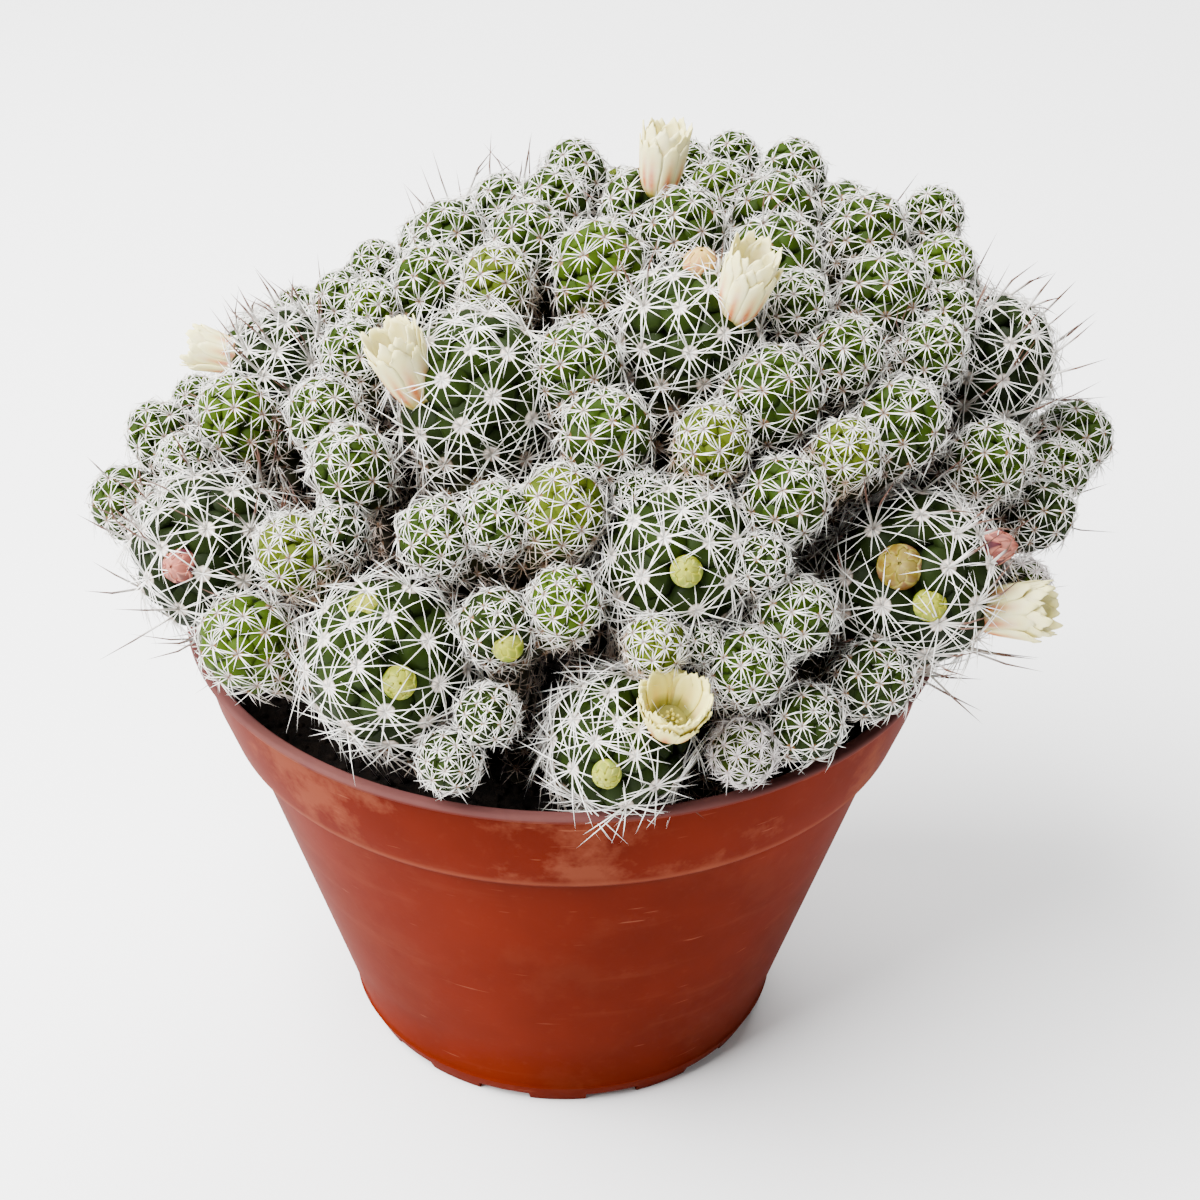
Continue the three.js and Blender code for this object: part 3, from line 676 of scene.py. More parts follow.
class GrowthTree(Graph):
    """A Geometry Nodes tree with named inputs."""

    def __init__(self, name, inputs):
        super().__init__(bpy.data.node_groups.new(name, "GeometryNodeTree"))
        self.sockets = {}
        for label, kind in [("Geometry", "Geometry")] + inputs:
            made = self.tree.interface.new_socket(label, in_out="INPUT", socket_type="NodeSocket" + kind)
            self.sockets[label] = made.identifier
        self.tree.interface.new_socket("Geometry", in_out="OUTPUT", socket_type="NodeSocketGeometry")
        self.start = self.node("NodeGroupInput")

    def given(self, label):
        return Wire(self, self.start.outputs[label])

    def named(self, name, kind="FLOAT"):
        return self.wire("GeometryNodeInputNamedAttribute", {"data_type": kind}, {"Name": name})

    def chance(self, low, high, seed):
        """A random number between low and high for each element."""
        values = {2: low, 3: high, 8: seed}
        return self.wire("FunctionNodeRandomValue", {"data_type": "FLOAT"}, values, 1)

    def shape_of(self, label):
        return self.wire("GeometryNodeObjectInfo", {}, {"Object": self.given(label)}, "Geometry")

    def turned(self, rotation, axis, angle):
        turn = self.wire("FunctionNodeAxisAngleToRotation", {}, {"Axis": axis, "Angle": angle})
        return self.wire("FunctionNodeRotateRotation", {"rotation_space": "LOCAL"},
                         {"Rotation": rotation, "Rotate By": turn})

    def stored(self, geometry, name, value):
        settings = {"data_type": "FLOAT", "domain": "INSTANCE"}
        return self.wire("GeometryNodeStoreNamedAttribute", settings,
                         {"Geometry": geometry, "Name": name, "Value": value})

    def joined(self, *geometries):
        joint = self.node("GeometryNodeJoinGeometry")
        for geometry in geometries:
            self.tree.links.new(geometry.socket, joint.inputs[0])
        return Wire(self, joint.outputs[0])

    def realized(self, geometry, material):
        real = self.wire("GeometryNodeRealizeInstances", {}, {"Geometry": geometry})
        rounded = self.wire("GeometryNodeSetShadeSmooth", {}, {"Geometry": real, "Shade Smooth": True})
        return self.wire("GeometryNodeSetMaterial", {},
                         {"Geometry": rounded, "Material": self.given(material)})

    def finish(self, geometry):
        self.node("NodeGroupOutput", {}, {"Geometry": geometry})


def grown_mesh(obj, tree, values):
    """Runs a tree on an object and returns the plain mesh that it makes."""
    modifier = obj.modifiers.new("Growth", "NODES")
    modifier.node_group = tree.tree
    for label, value in values.items():
        modifier[tree.sockets[label]] = value
    bpy.context.view_layer.update()
    return evaluated_mesh(obj)


# ======== Mesh helpers ========


def new_object(name, data):
    obj = bpy.data.objects.new(name, data)
    bpy.context.scene.collection.objects.link(obj)
    return obj


def discard(*objects):
    for obj in objects:
        bpy.data.objects.remove(obj)


def evaluated_mesh(obj):
    """The plain mesh that an object's modifiers make."""
    depsgraph = bpy.context.evaluated_depsgraph_get()
    return bpy.data.meshes.new_from_object(obj.evaluated_get(depsgraph), depsgraph=depsgraph)


def mesh_of(name, points, faces=(), scale=MM):
    mesh = bpy.data.meshes.new(name)
    scaled = [tuple(scale * float(c) for c in point) for point in points]
    mesh.from_pydata(scaled, [], [tuple(face) for face in faces])
    mesh.update()
    return mesh


def object_from(shape, name):
    """An object from a BMesh, which is freed."""
    mesh = bpy.data.meshes.new(name)
    shape.to_mesh(mesh)
    shape.free()
    return new_object(name, mesh)


def smooth(mesh):
    mesh.polygons.foreach_set("use_smooth", [True] * len(mesh.polygons))
    return mesh


def paint(mesh, name, values):
    """Stores one number at each point."""
    layer = mesh.attributes.new(name, "FLOAT", "POINT")
    layer.data.foreach_set("value", np.asarray(values, np.float32))


def angles_round(sides):
    return [2 * math.pi * side / sides for side in range(sides)]


def ring_round(place, u, v, radius, sides):
    return [place + radius * (math.cos(a) * u + math.sin(a) * v) for a in angles_round(sides)]


def turned_faces(rings, sides, first=0):
    """Faces of a closed skin through rings of points that follow a first pole and come before a last one."""
    def at(ring, side):
        return first + 1 + ring * sides + side % sides
    faces = [(first, at(0, side + 1), at(0, side)) for side in range(sides)]
    for ring in range(rings - 1):
        faces += [(at(ring, side), at(ring, side + 1), at(ring + 1, side + 1), at(ring + 1, side))
                  for side in range(sides)]
    last = first + 1 + rings * sides
    return faces + [(at(rings - 1, side), at(rings - 1, side + 1), last) for side in range(sides)]


class Skin:
    """Gathers closed skins, with numbers painted on their points, into one mesh."""

    def __init__(self):
        self.points = []
        self.faces = []
        self.paints = {}

    def add_turned(self, first_pole, rings, last_pole, **paints):
        """Each paint is one number, or a list with one for each ring."""
        sides = len(rings[0])
        self.faces += turned_faces(len(rings), sides, len(self.points))
        self.points += [first_pole] + [point for ring in rings for point in ring] + [last_pole]
        for name, paint_of in paints.items():
            per_ring = paint_of if isinstance(paint_of, list) else [paint_of] * len(rings)
            row = [per_ring[0]] + [value for value in per_ring for _ in range(sides)] + [per_ring[-1]]
            self.paints.setdefault(name, []).extend(row)

    def mesh(self, name, scale=MM):
        mesh = mesh_of(name, self.points, self.faces, scale)
        for label, values in self.paints.items():
            paint(mesh, label, values)
        return smooth(mesh)


def replace_object(mesh, name, node):
    """The finished piece that stands for a CAD node."""
    piece = new_object(name, mesh)
    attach(piece, "root")
    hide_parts(node)
    return piece


# ======== Materials ========

# Colours that no setting changes.
# Painted shade under the band's step.
PAINTED_GROOVE_SHADE = (0.03, 0.006, 0.002)
# The paler, pinker colour of the lip's top.
PALE_LIP_TOP = (0.08, 0.033, 0.031)
PALE_CRUMB = (0.014, 0.009, 0.006)
DARK_GREEN = (0.0052, 0.0095, 0.0012)
FRESH_GREEN = (0.026, 0.052, 0.0017)
YELLOW_GREEN = (0.088, 0.104, 0.0065)
OLIVE = (0.017, 0.014, 0.004)
CORK = (0.017, 0.014, 0.0085)
# Painted shade in the valleys between tubercles.
PAINTED_VALLEY_SHADE = (0.003, 0.006, 0.002)
TAN_WOOL = (0.15, 0.08, 0.035)
WHITE_WOOL = (0.8, 0.7, 0.62)
OLD_WOOL = (0.16, 0.09, 0.05)
WHITE_SPINE = (0.95, 0.94, 0.9)
BONE_SPINE = (0.85, 0.81, 0.74)
SPINE_FOOT = (0.1, 0.045, 0.014)
TAN_SPINE = (0.42, 0.24, 0.09)
OLD_SPINE = (0.27, 0.16, 0.095)
ASHEN_SPINE = (0.5, 0.43, 0.44)
DARK_SPINE = (0.07, 0.026, 0.013)
YELLOW_PETAL = (0.77, 0.69, 0.22)
GREEN_THROAT = (0.13, 0.13, 0.02)
# Pale veins and painted sheen on the petals.
PALE_VEIN_AND_SHEEN = (0.85, 0.8, 0.66)
DARK_POLLEN = (0.4, 0.36, 0.05)
PALE_POLLEN = (0.62, 0.55, 0.12)
FLOOR_PATCH = (0.88, 0.88, 0.88)

FLOWER_GREEN = (0.36, 0.4, 0.05)

# For each kind of bud: its pale colour, the deep one of its streaks and the one of its foot.
BUD_TINTS = {
    "bud_peach": ((0.5, 0.35, 0.09), (0.36, 0.12, 0.035), (0.13, 0.11, 0.016)),
    "bud_yellow": ((0.19, 0.15, 0.012), (0.1, 0.042, 0.004), (0.08, 0.095, 0.006)),
    "bud_green": ((0.3, 0.3, 0.02), (0.13, 0.17, 0.008), (0.03, 0.07, 0.003)),
    "bud_pink": ((0.4, 0.13, 0.09), (0.04, 0.001, 0.008), (0.06, 0.003, 0.01)),
}
FLOWER_SHEEN = 0.22
BUD_SHEEN = 0.06
BUD_STREAK_AT_TIP = 0.9


def plastic_material(settings):
    """Satin moulded plastic, scuffed, with dried water film on the band and scratches; a paler lip top;
    painted shade under the band's step and a painted highlight on its lower edge.
    """
    look = Material("Terracotta plastic")
    # Heights are in tenths of a metre, so that the pot fills the ramps' range.
    height = look.wire("ShaderNodeSeparateXYZ", {}, {"Vector": look.place}, "Z") * 10
    mottle = look.noise(18, 4)
    colour = look.mix(look.ramp(mottle, (0.35, 0), (0.7, 1)), settings.plastic, settings.shade)
    flecks = look.ramp(look.noise(420, 2), (0.6, 0), (0.74, 1))
    colour = look.mix(flecks * 0.04, colour, settings.film)
    on_band = look.ramp(height, (0.8, 0), (0.84, 1))
    film = look.ramp(look.noise(34, 6, 0.68), (0.52, 0), (0.62, 1)) * (0.05 + 0.3 * on_band)
    colour = look.mix(film, colour, settings.film)
    wisps = look.ramp(look.noise(30, 5, 0.6, look.stretched(1, 1, 7)), (0.6, 0), (0.68, 1))
    scratches = look.ramp(look.noise(85, 2, 0.5, look.stretched(1, 1, 12)), (0.71, 0), (0.75, 1))
    colour = look.mix((wisps * 0.05 + scratches * 0.4).clamped(), colour, settings.film)
    # Painted shade in the groove just under the band's step.
    painted_groove_shade = look.ramp(height, (0.77, 0), (0.802, 1), (0.8075, 0))
    colour = look.mix(painted_groove_shade * 0.75, colour, PAINTED_GROOVE_SHADE)
    # Painted highlight along the band's lower edge, in the pale film colour.
    painted_edge_highlight = look.ramp(height, (0.808, 0), (0.812, 1), (0.826, 0))
    colour = look.mix(painted_edge_highlight * 0.35, colour, settings.film)
    # The lip's top is paler and pinker than the body.
    on_lip = look.ramp(height - 0.02, (0.9935, 0), (1.0, 1))
    colour = look.mix(on_lip * 0.85, colour, PALE_LIP_TOP)
    rough = 0.52 + 0.14 * mottle + 0.2 * film
    ripple = look.bump(look.noise(60, 3), 0.12, 0.5)
    grain = look.bump(look.noise(900, 2) + scratches * 0.4, 0.03, 0.6, ripple)
    return look.surface(Base_Color=colour, Roughness=rough, Normal=grain, Specular_IOR_Level=0.02)


def soil_material(settings):
    look = Material("Potting soil")
    crumbs = look.noise(500, 5, 0.7)
    # The soil is near-black: dark like real soil, and darker still as painted shade in the gaps between the
    # heads and the rim.
    colour = look.mix(look.ramp(crumbs, (0.4, 0), (0.75, 1)), settings.colour, PALE_CRUMB)
    relief = look.bump(look.noise(900, 4, 0.7), 0.6)
    return look.surface(Base_Color=colour, Roughness=0.85 + 0.1 * crumbs, Normal=relief,
                        Specular_IOR_Level=0.1)


def flesh_material():
    """Green flesh: bright at a head's tip and dark down its sides, partly from young growth and partly as
    painted light and shade; painted shade in the valleys between tubercles; corky where it is old, woolly at
    areoles.
    """
    look = Material("Cactus flesh")
    age = look.attribute("age")
    height = look.attribute("height")
    green = look.attribute("green")
    warm = look.attribute("warm")
    grown = look.attribute("grown")
    patch = look.noise(160, 3)
    # Each head's tip is painted brighter and its sides darker: partly young growth, partly painted light from
    # above and painted shade down the sides.
    tone_and_painted_tip_light = (green - 0.3 * grown + (patch - 0.5) * 0.5 + 0.35 * (1 - age * 2.6)).clamped()
    colour = look.mix(tone_and_painted_tip_light, DARK_GREEN, FRESH_GREEN)
    colour = look.mix((warm * (1.15 - age * 2)).clamped(), colour, YELLOW_GREEN)
    olive = look.ramp(age + (patch - 0.5) * 0.25, (0.4, 0), (0.74, 1))
    colour = look.mix(olive * 0.75, colour, OLIVE)
    cork = look.ramp(age, (0.8, 0), (1.0, 1))
    colour = look.mix(cork, colour, CORK)
    # Painted shade: the flesh darkens down into the valleys between tubercles, on the core under them and on
    # the stem's column.
    painted_valley_shade = look.ramp(height, (0.0, 1), (0.5, 0))
    colour = look.mix(painted_valley_shade * 0.6, colour, PAINTED_VALLEY_SHADE)
    wool = look.mix(grown, TAN_WOOL, WHITE_WOOL)
    wool = look.mix(look.ramp(age, (0.2, 0), (0.6, 1)), wool, OLD_WOOL)
    disc = look.ramp(height, (0.93, 0), (0.965, 1))
    colour = look.mix(disc, colour, wool)
    skin = look.bump(look.noise(1400, 3), 0.05, 0.6)
    return look.surface(Base_Color=colour, Roughness=0.44 + 0.2 * patch + 0.25 * disc, Normal=skin,
                        Specular_IOR_Level=0.05)


def spine_material():
    """Bone-white spines with a dark brown foot, browner low on a head; central ones dark towards the tip."""
    look = Material("Spine")
    along = look.attribute("along")
    age = look.attribute("age")
    dark = look.attribute("dark")
    ash = look.attribute("ash")
    grown = look.attribute("grown")
    warm = look.attribute("warm")
    luck = look.attribute("luck")
    streak = look.noise(700, 2)
    colour = look.mix(luck * 0.5 + 0.25 * streak, WHITE_SPINE, BONE_SPINE)
    foot = look.ramp(along, (0.02, 1), (0.22, 0))
    bare = (0.85 - 0.55 * grown + 0.7 * age).clamped()
    colour = look.mix(foot * bare, colour, SPINE_FOOT)
    tan = warm * look.ramp(age, (0.3, 0), (0.5, 1))
    colour = look.mix(tan, colour, TAN_SPINE)
    old = look.ramp(age + (luck - 0.5) * 0.3, (0.45, 0), (0.9, 1))
    colour = look.mix(old * 0.75, colour, OLD_SPINE)
    colour = look.mix(ash * 0.6, colour, ASHEN_SPINE)
    tipped = dark * look.ramp(along, (0.1, 0), (0.5, 1))
    colour = look.mix(tipped, colour, DARK_SPINE)
    return look.surface(Base_Color=colour, Roughness=0.5 + 0.2 * streak,
                        Normal=look.bump(streak, 0.02, 0.4), Specular_IOR_Level=0.4)


def petal_material(name, pale, deep, green, sheen, tip):
    """Silky petals with pale veins that also carry a painted sheen, a deep streak down the middle and a deep
    or green foot.

    tip is how much of the streak reaches the petal's tip.
    """
    look = Material(name)
    along = look.attribute("along")
    across = look.attribute("across")
    outer = look.attribute("outer")
    yellow = look.attribute("yellow")
    veins = look.noise(340, 3, 0.5)
    rib = look.ramp(across, (0.08 + 0.25 * tip, 1), (0.62 + 0.25 * tip, 0))
    streak = rib * look.ramp(along, (0.35, 1), (0.85, tip)) * (0.25 + 0.75 * outer)
    colour = look.mix(yellow, pale, YELLOW_PETAL)
    colour = look.mix((streak * (0.6 + veins)).clamped(), colour, deep)
    wash = look.ramp(along, (0.12, 1), (0.5, 0)) * outer
    colour = look.mix(wash * (0.35 * (1 - tip)), colour, deep)
    foot = look.ramp((along - 0.22 * (1 - outer)).clamped(), (0.05, 1), (0.24, 0))
    foot_colour = look.mix(outer, GREEN_THROAT, green)
    colour = look.mix(foot * 0.75, colour, foot_colour)
    # Pale veins that also stand for a painted sheen on the petals.
    veins_and_painted_sheen = look.ramp(veins, (0.45, 0), (0.7, 1)) * (1 - 0.7 * yellow) * sheen
    colour = look.mix(veins_and_painted_sheen, colour, PALE_VEIN_AND_SHEEN)
    silk = look.bump(veins, 0.12, 0.5)
    return look.surface(Base_Color=colour, Roughness=0.42 + 0.2 * veins, Normal=silk,
                        Specular_IOR_Level=0.12, Subsurface_Weight=sheen, Subsurface_Radius=(1.0, 0.8, 0.5),
                        Subsurface_Scale=1.5 * MM)


def pollen_material():
    look = Material("Pollen")
    grain = look.noise(2500, 2)
    colour = look.mix(grain, DARK_POLLEN, PALE_POLLEN)
    return look.surface(Base_Color=colour, Roughness=0.7 + 0.1 * grain, Normal=look.bump(grain, 0.1))


def floor_material(settings):
    look = Material("Pale floor")
    grain = look.noise(6, 4)
    colour = look.mix(grain * 0.25, settings.floor, FLOOR_PATCH)
    return look.surface(Base_Color=colour, Roughness=0.85 + 0.05 * grain)


# ======== Pot and soil ========

BAND_FOOT = POT_HEIGHT - BAND_HEIGHT


def arc(centre_radius, centre_height, radius, start, end, steps):
    """Points of a profile round a bend, from one angle to another in degrees."""
    angles = [math.radians(start + (end - start) * i / steps) for i in range(steps + 1)]
    return [(centre_radius + radius * math.cos(a), centre_height + radius * math.sin(a)) for a in angles]


def pot_profile():
    """The pot's wall from the middle of its foot, up the outside, over the lip and down the inside."""
    slope = (BODY_TOP_RADIUS - FOOT_RADIUS) / BAND_FOOT
    ring = FOOT_RADIUS + slope * FOOT_RING_HEIGHT
    lip = RIM_RADIUS - LIP_INSET
    under_lip = POT_HEIGHT - LIP_HEIGHT
    outside = [(PAD_INNER_RADIUS, 0)]
    outside += arc(FOOT_RADIUS - FOOT_BEND, FOOT_BEND, FOOT_BEND, -90, -15, 4)
    outside += arc(ring + FOOT_RING_STEP - RING_BEND, FOOT_RING_HEIGHT - RING_BEND, RING_BEND, -15, 75, 3)
    outside += [(ring + FOOT_RING_FADE, FOOT_RING_HEIGHT + FOOT_RING_STEP)]
    outside += [(FOOT_RADIUS + slope * z, z) for z in (*BODY_RINGS, BAND_FOOT - BODY_STRAIGHT_TO)]
    outside += [(BODY_TOP_RADIUS + out, BAND_FOOT + up) for out, up in BODY_TOP_BEND]
    outside += arc(BAND_FOOT_RADIUS - BAND_BEND, BAND_FOOT + BAND_BEND, BAND_BEND, -90, -10, 4)
    outside += [(BAND_FOOT_RADIUS + BAND_BULGE, BAND_FOOT + BAND_BULGE_HEIGHT)]
    outside += [(lip - LIP_INSET, under_lip - LIP_INSET)]
    outside += arc(lip, POT_HEIGHT - LIP_BEND, LIP_BEND, -60, 90, 6)
    inside = arc(lip - LIP_FLAT, POT_HEIGHT - LIP_INNER_BEND, LIP_INNER_BEND, 90, 200, 4)
    inside += [(RIM_RADIUS - LIP_OVERHANG - WALL, under_lip - LIP_INNER_DROP)]
    inside += [(BAND_FOOT_RADIUS - WALL, BAND_FOOT + WALL), (BODY_TOP_RADIUS - WALL, BAND_FOOT)]
    inside += [(FOOT_RADIUS - FOOT_INSET, PAD_THICKNESS), (PAD_INNER_RADIUS, PAD_THICKNESS)]
    inside += [(PAD_INNER_RADIUS - PAD_SLOPE, FLOOR_THICKNESS)]
    return outside + inside


def lathe_mesh(name, profile, bottom, top, sides):
    """A profile turned round the Z axis, closed by poles on the axis at two heights."""
    points = [(0, 0, bottom)]
    points += [(r * math.cos(a), r * math.sin(a), z) for r, z in profile for a in angles_round(sides)]
    points.append((0, 0, top))
    return mesh_of(name, points, turned_faces(len(profile), sides))


def foot_cutters():
    """The notches in the foot's edge, as one cutter."""
    shape = bmesh.new()
    to_edge = Matrix.Translation((0, -FOOT_RADIUS * MM, 0))
    size = Matrix.Diagonal((NOTCH_WIDTH * MM, 2 * NOTCH_DEPTH * MM, 2 * NOTCH_HEIGHT * MM, 1))
    for i in range(NOTCHES):
        turn = Matrix.Rotation(math.radians(NOTCH_BEARING + i * 360 / NOTCHES), 4, "Z")
        bmesh.ops.create_cube(shape, size=1, matrix=turn @ to_edge @ size)
    return object_from(shape, "Foot cutters")


def pot_mesh(settings):
    blank = lathe_mesh("Pot blank", pot_profile(), 0, FLOOR_THICKNESS, settings.sides)
    pot = new_object("Pot blank", blank)
    cutters = foot_cutters()
    cut = pot.modifiers.new("Cut", "BOOLEAN")
    cut.operation = "DIFFERENCE"
    cut.solver = "EXACT"
    cut.use_self = True
    cut.object = cutters
    mesh = smooth(evaluated_mesh(pot))
    discard(pot, cutters)
    mesh.name = "Pot"
    mesh.set_sharp_from_angle(angle=math.radians(SHARP_ANGLE))
    mesh.materials.append(plastic_material(settings))
    return mesh


def soil_bed():
    """The soil's body, with an uneven top."""
    edge = BAND_FOOT_RADIUS - WALL + BAND_LEAN * (SOIL_LEVEL - BAND_FOOT - WALL) - SOIL_EDGE_ROOM
    under, on_pad = FLOOR_THICKNESS + GAP, PAD_THICKNESS + GAP
    profile = [(PAD_INNER_RADIUS - PAD_SLOPE - SOIL_INSET, under), (PAD_INNER_RADIUS - SOIL_INSET, on_pad)]
    profile += [(FOOT_RADIUS - SOIL_INSET, on_pad), (BODY_TOP_RADIUS - WALL - SOIL_INSET, BAND_FOOT)]
    profile += [(edge * (1 - i / SOIL_CIRCLES), SOIL_LEVEL) for i in range(SOIL_CIRCLES)]
    mesh = lathe_mesh("Soil bed", profile, under, SOIL_LEVEL, SOIL_SIDES)
    for vertex in mesh.vertices:
        if vertex.co.z > (SOIL_LEVEL - GAP) * MM:
            vertex.co.z += SOIL_RELIEF * MM * noise.fractal(vertex.co / (SOIL_PATCH * MM), *SOIL_FRACTAL)
    return smooth(mesh)


def clod_tree():
    """Scatters clods over the soil's top."""
    tree = GrowthTree("Soil clods", [
        ("Clod", "Object"), ("Clods per m2", "Float"), ("Clod Size", "Float"), ("Seed", "Int"),
        ("Soil", "Material")])
    soil = tree.given("Geometry")
    normal = tree.wire("GeometryNodeInputNormal")
    up = tree.wire("ShaderNodeSeparateXYZ", {}, {"Vector": normal}, "Z")
    seed = tree.given("Seed")
    values = {"Mesh": soil, "Selection": up.math("GREATER_THAN", up, FLAT_ENOUGH),
              "Density": tree.given("Clods per m2"), "Seed": seed}
    places = tree.wire("GeometryNodeDistributePointsOnFaces", {}, values)
    size = tree.given("Clod Size") * tree.chance(*CLOD_SIZES, seed + 1)
    unturned = tree.wire("FunctionNodeAxisAngleToRotation")
    spin = tree.turned(unturned, (0, 0, 1), tree.chance(0, FULL_TURN, seed + 2))
    roll = tree.turned(spin, (1, 0, 0), tree.chance(0, FULL_TURN, seed + 3))
    clods = tree.wire("GeometryNodeInstanceOnPoints", {}, {
        "Points": places, "Instance": tree.shape_of("Clod"), "Rotation": roll, "Scale": size})
    tree.finish(tree.realized(tree.joined(soil, clods), "Soil"))
    return tree


def clod_blank():
    """A lump one unit wide, a little flat."""
    shape = bmesh.new()
    bmesh.ops.create_icosphere(shape, subdivisions=1, radius=0.5)
    for vertex in shape.verts:
        vertex.co *= 1 + CLOD_LUMPS * noise.noise(vertex.co * CLOD_LUMP_SCALE)
        vertex.co.z *= CLOD_FLATNESS
    return object_from(shape, "Clod")


# ======== Stems and heads ========

LOOKS = {
    "plain": {"green": 0.3, "warm": 0.0, "ash": 0.0, "arms": 12, "central": 0.015},
    "bristly": {"green": 0.12, "warm": 0.0, "ash": 0.0, "arms": 13, "central": 0.75},
    # The dark look gives the darkest flesh and fewer spines. On heads that the front table sinks between
    # others or sets low towards the rim, that dark flesh is painted shade; among the filled heads it is a
    # darker tone.
    "dark": {"green": 0.0, "warm": 0.0, "ash": 0.0, "arms": 10, "central": 0.0},
    "bright": {"green": 0.85, "warm": 0.1, "ash": 0.0, "arms": 11, "central": 0.0},
    "yellow": {"green": 0.7, "warm": 0.55, "ash": 0.0, "arms": 12, "central": 0.0},
    "ashen": {"green": 0.1, "warm": 0.1, "ash": 1.0, "arms": 20, "central": 0.0},
}
CROWN_AREOLES = {False: 17, True: 22}
CROWN_GROWTH = {False: 0.66, True: 0.7}
TUBERCLE_HEIGHT = 0.36
TUBERCLE_WIDTH = 0.6
SPINE_REACH = {False: 0.68, True: 0.74}
YOUNG_REACH = 0.6
UPWARD = 0.16
PLUMP_SHARE = 0.75
NECK_TAPER = 0.14
NECK_NARROWEST = 0.5
COLUMN_NARROWEST = 2.6
COLUMN_AREA = 22
COLUMN_REACH = 4.6
OLD_RUN = 1.5
OLD_ARMS = 0.6
BLOOM_ROOM = 1.05
BUD_SWELL = 1.12
BUD_RISE = 0.9

# The core under the tubercles, and how it and they age down a head and its neck.
CORE_SIDES = 14
CORE_STEPS = 5
CORE_DEPTH = 0.6
CORE_NECK_RINGS = (0.12, 0.25, 0.4, 0.6, 0.8, 1)
NECK_BEND = 0.45
NECK_POWER = 1.6
SIDE_AGE = 0.3
NECK_AGE = 0.32
NECK_AGEING = 0.3
AGE_POWER = 1.5
AGE_SPREAD = 0.1
COLUMN_SIDES = 12
COLUMN_STEPS = 9
COLUMN_CORE = 0.86
# COLUMN_SHADE is the height painted on a stem's column, which gives it part of the painted valley shade.
COLUMN_SHADE = 0.3
COLUMN_ARMS = 9
COLUMN_SPREAD = 0.4
COLUMN_CLEAR = 1

# How areoles follow their spiral, and how many spines they have.
FIRST_STEP = 0.45
TURN_SPREAD = 0.05
LEAST_AREA = 0.16
YOUNG_CROWN = 0.6
NECK_SHARE = 0.9
NECK_REACH_LOSS = 0.12
LEAST_NECK_REACH = 0.6
GROWN_ARMS = 2
CROWN_ARM_SPREAD = (-1, 3)
NECK_ARM_SPREAD = (-2, 2)
CENTRAL_COUNTS = (1, 3)
HEXAGON_PACKING = 0.866
NUDGE = 0.01

# The blanks' outlines as radius and height for one unit of length, and how the spines of a star vary.
TUBERCLE_OUTLINE = [(0.13, 0.0), (0.3, -0.05), (0.56, -0.22), (0.8, -0.5), (1.0, -0.95)]
# The heights painted on a tubercle's rings: its foot gets the painted valley shade.
TUBERCLE_HEIGHTS = [1.0, 0.94, 0.8, 0.5, 0.0]
TUBERCLE_TIP = 0.015
TUBERCLE_FOOT = -1.2
TUBERCLE_SIDES = 8
SPINE_SIDES = 3
SPINE_STATIONS = ((0.5, 0.0), (0.4, 0.52))
SPINE_BENDS = (1.5, 6.0)
SPINE_TURNS = 0.3
SPINE_LENGTHS = (0.66, 1.18)
SPINE_GIRTHS = (0.8, 1.15)
CENTRAL_LEANS = (0.15, 0.85)
CENTRAL_GIRTH = 1.9
UNDER_TWO = 1.99
SEED_STEP = 100


def flesh_size(head, settings):
    """The radius over a head's tubercles: near its plump size, as pressed heads bulge between each other."""
    share = settings.grown_share if head.grown else settings.flesh_share
    return share * ((1 - PLUMP_SHARE) * head.body + PLUMP_SHARE * head.plump)


def neck_line(head, end):
    """A function that gives the place and direction at a share of a head's bending neck."""
    pull = head.centre - NECK_BEND * distance(head.centre, end) * head.growth

    def at(t):
        place = (1 - t) ** 2 * head.centre + 2 * t * (1 - t) * pull + t * t * end
        return place, unit((1 - t) * (pull - head.centre) + t * (end - pull))
    return at


def neck_radius(size, run):
    """A head keeps its width for a while below its middle, then tapers towards its stem."""
    return size * max(1 - NECK_TAPER * (run / size) ** NECK_POWER, NECK_NARROWEST)


def neck_age(size, run):
    return min(1, NECK_AGE + NECK_AGEING * run / size)


def around(axis, u, v, angle):
    """The direction at an angle round an axis, from a frame that needn't be square to it."""
    out = math.cos(angle) * u + math.sin(angle) * v
    return unit(out - float(out @ axis) * axis)


def add_core(skin, head, end, size):
    """The smooth body under a head's tubercles, and its neck."""
    u, v = across_frame(head.growth)
    size *= 1 - CORE_DEPTH * TUBERCLE_HEIGHT
    rings, ages = [], []
    for step in range(1, CORE_STEPS + 1):
        tilt = math.pi / 2 * step / CORE_STEPS
        rings.append([head.crown(tilt, around(head.growth, u, v, a), size) for a in angles_round(CORE_SIDES)])
        ages.append(SIDE_AGE * step / CORE_STEPS)
    line = neck_line(head, end)
    length = distance(head.centre, end)
    for t in CORE_NECK_RINGS:
        place, down = line(t)
        radius = neck_radius(size, t * length)
        rings.append([place + radius * around(down, u, v, a) for a in angles_round(CORE_SIDES)])
        ages.append(neck_age(size, t * length))
    look = LOOKS[head.look]
    # Height 0 gives the core the full painted valley shade.
    skin.add_turned(head.crown(0, u, size), rings, end, age=ages, height=0, green=look["green"],
                    warm=look["warm"], grown=0)


def column_radius(stem, share):
    return max(float(np.interp(share, STEM_RINGS, stem.radii)), COLUMN_NARROWEST)


def column_sideways(stem):
    return np.cross([0, 0, 1], stem.leader.centre - stem.ends[0])


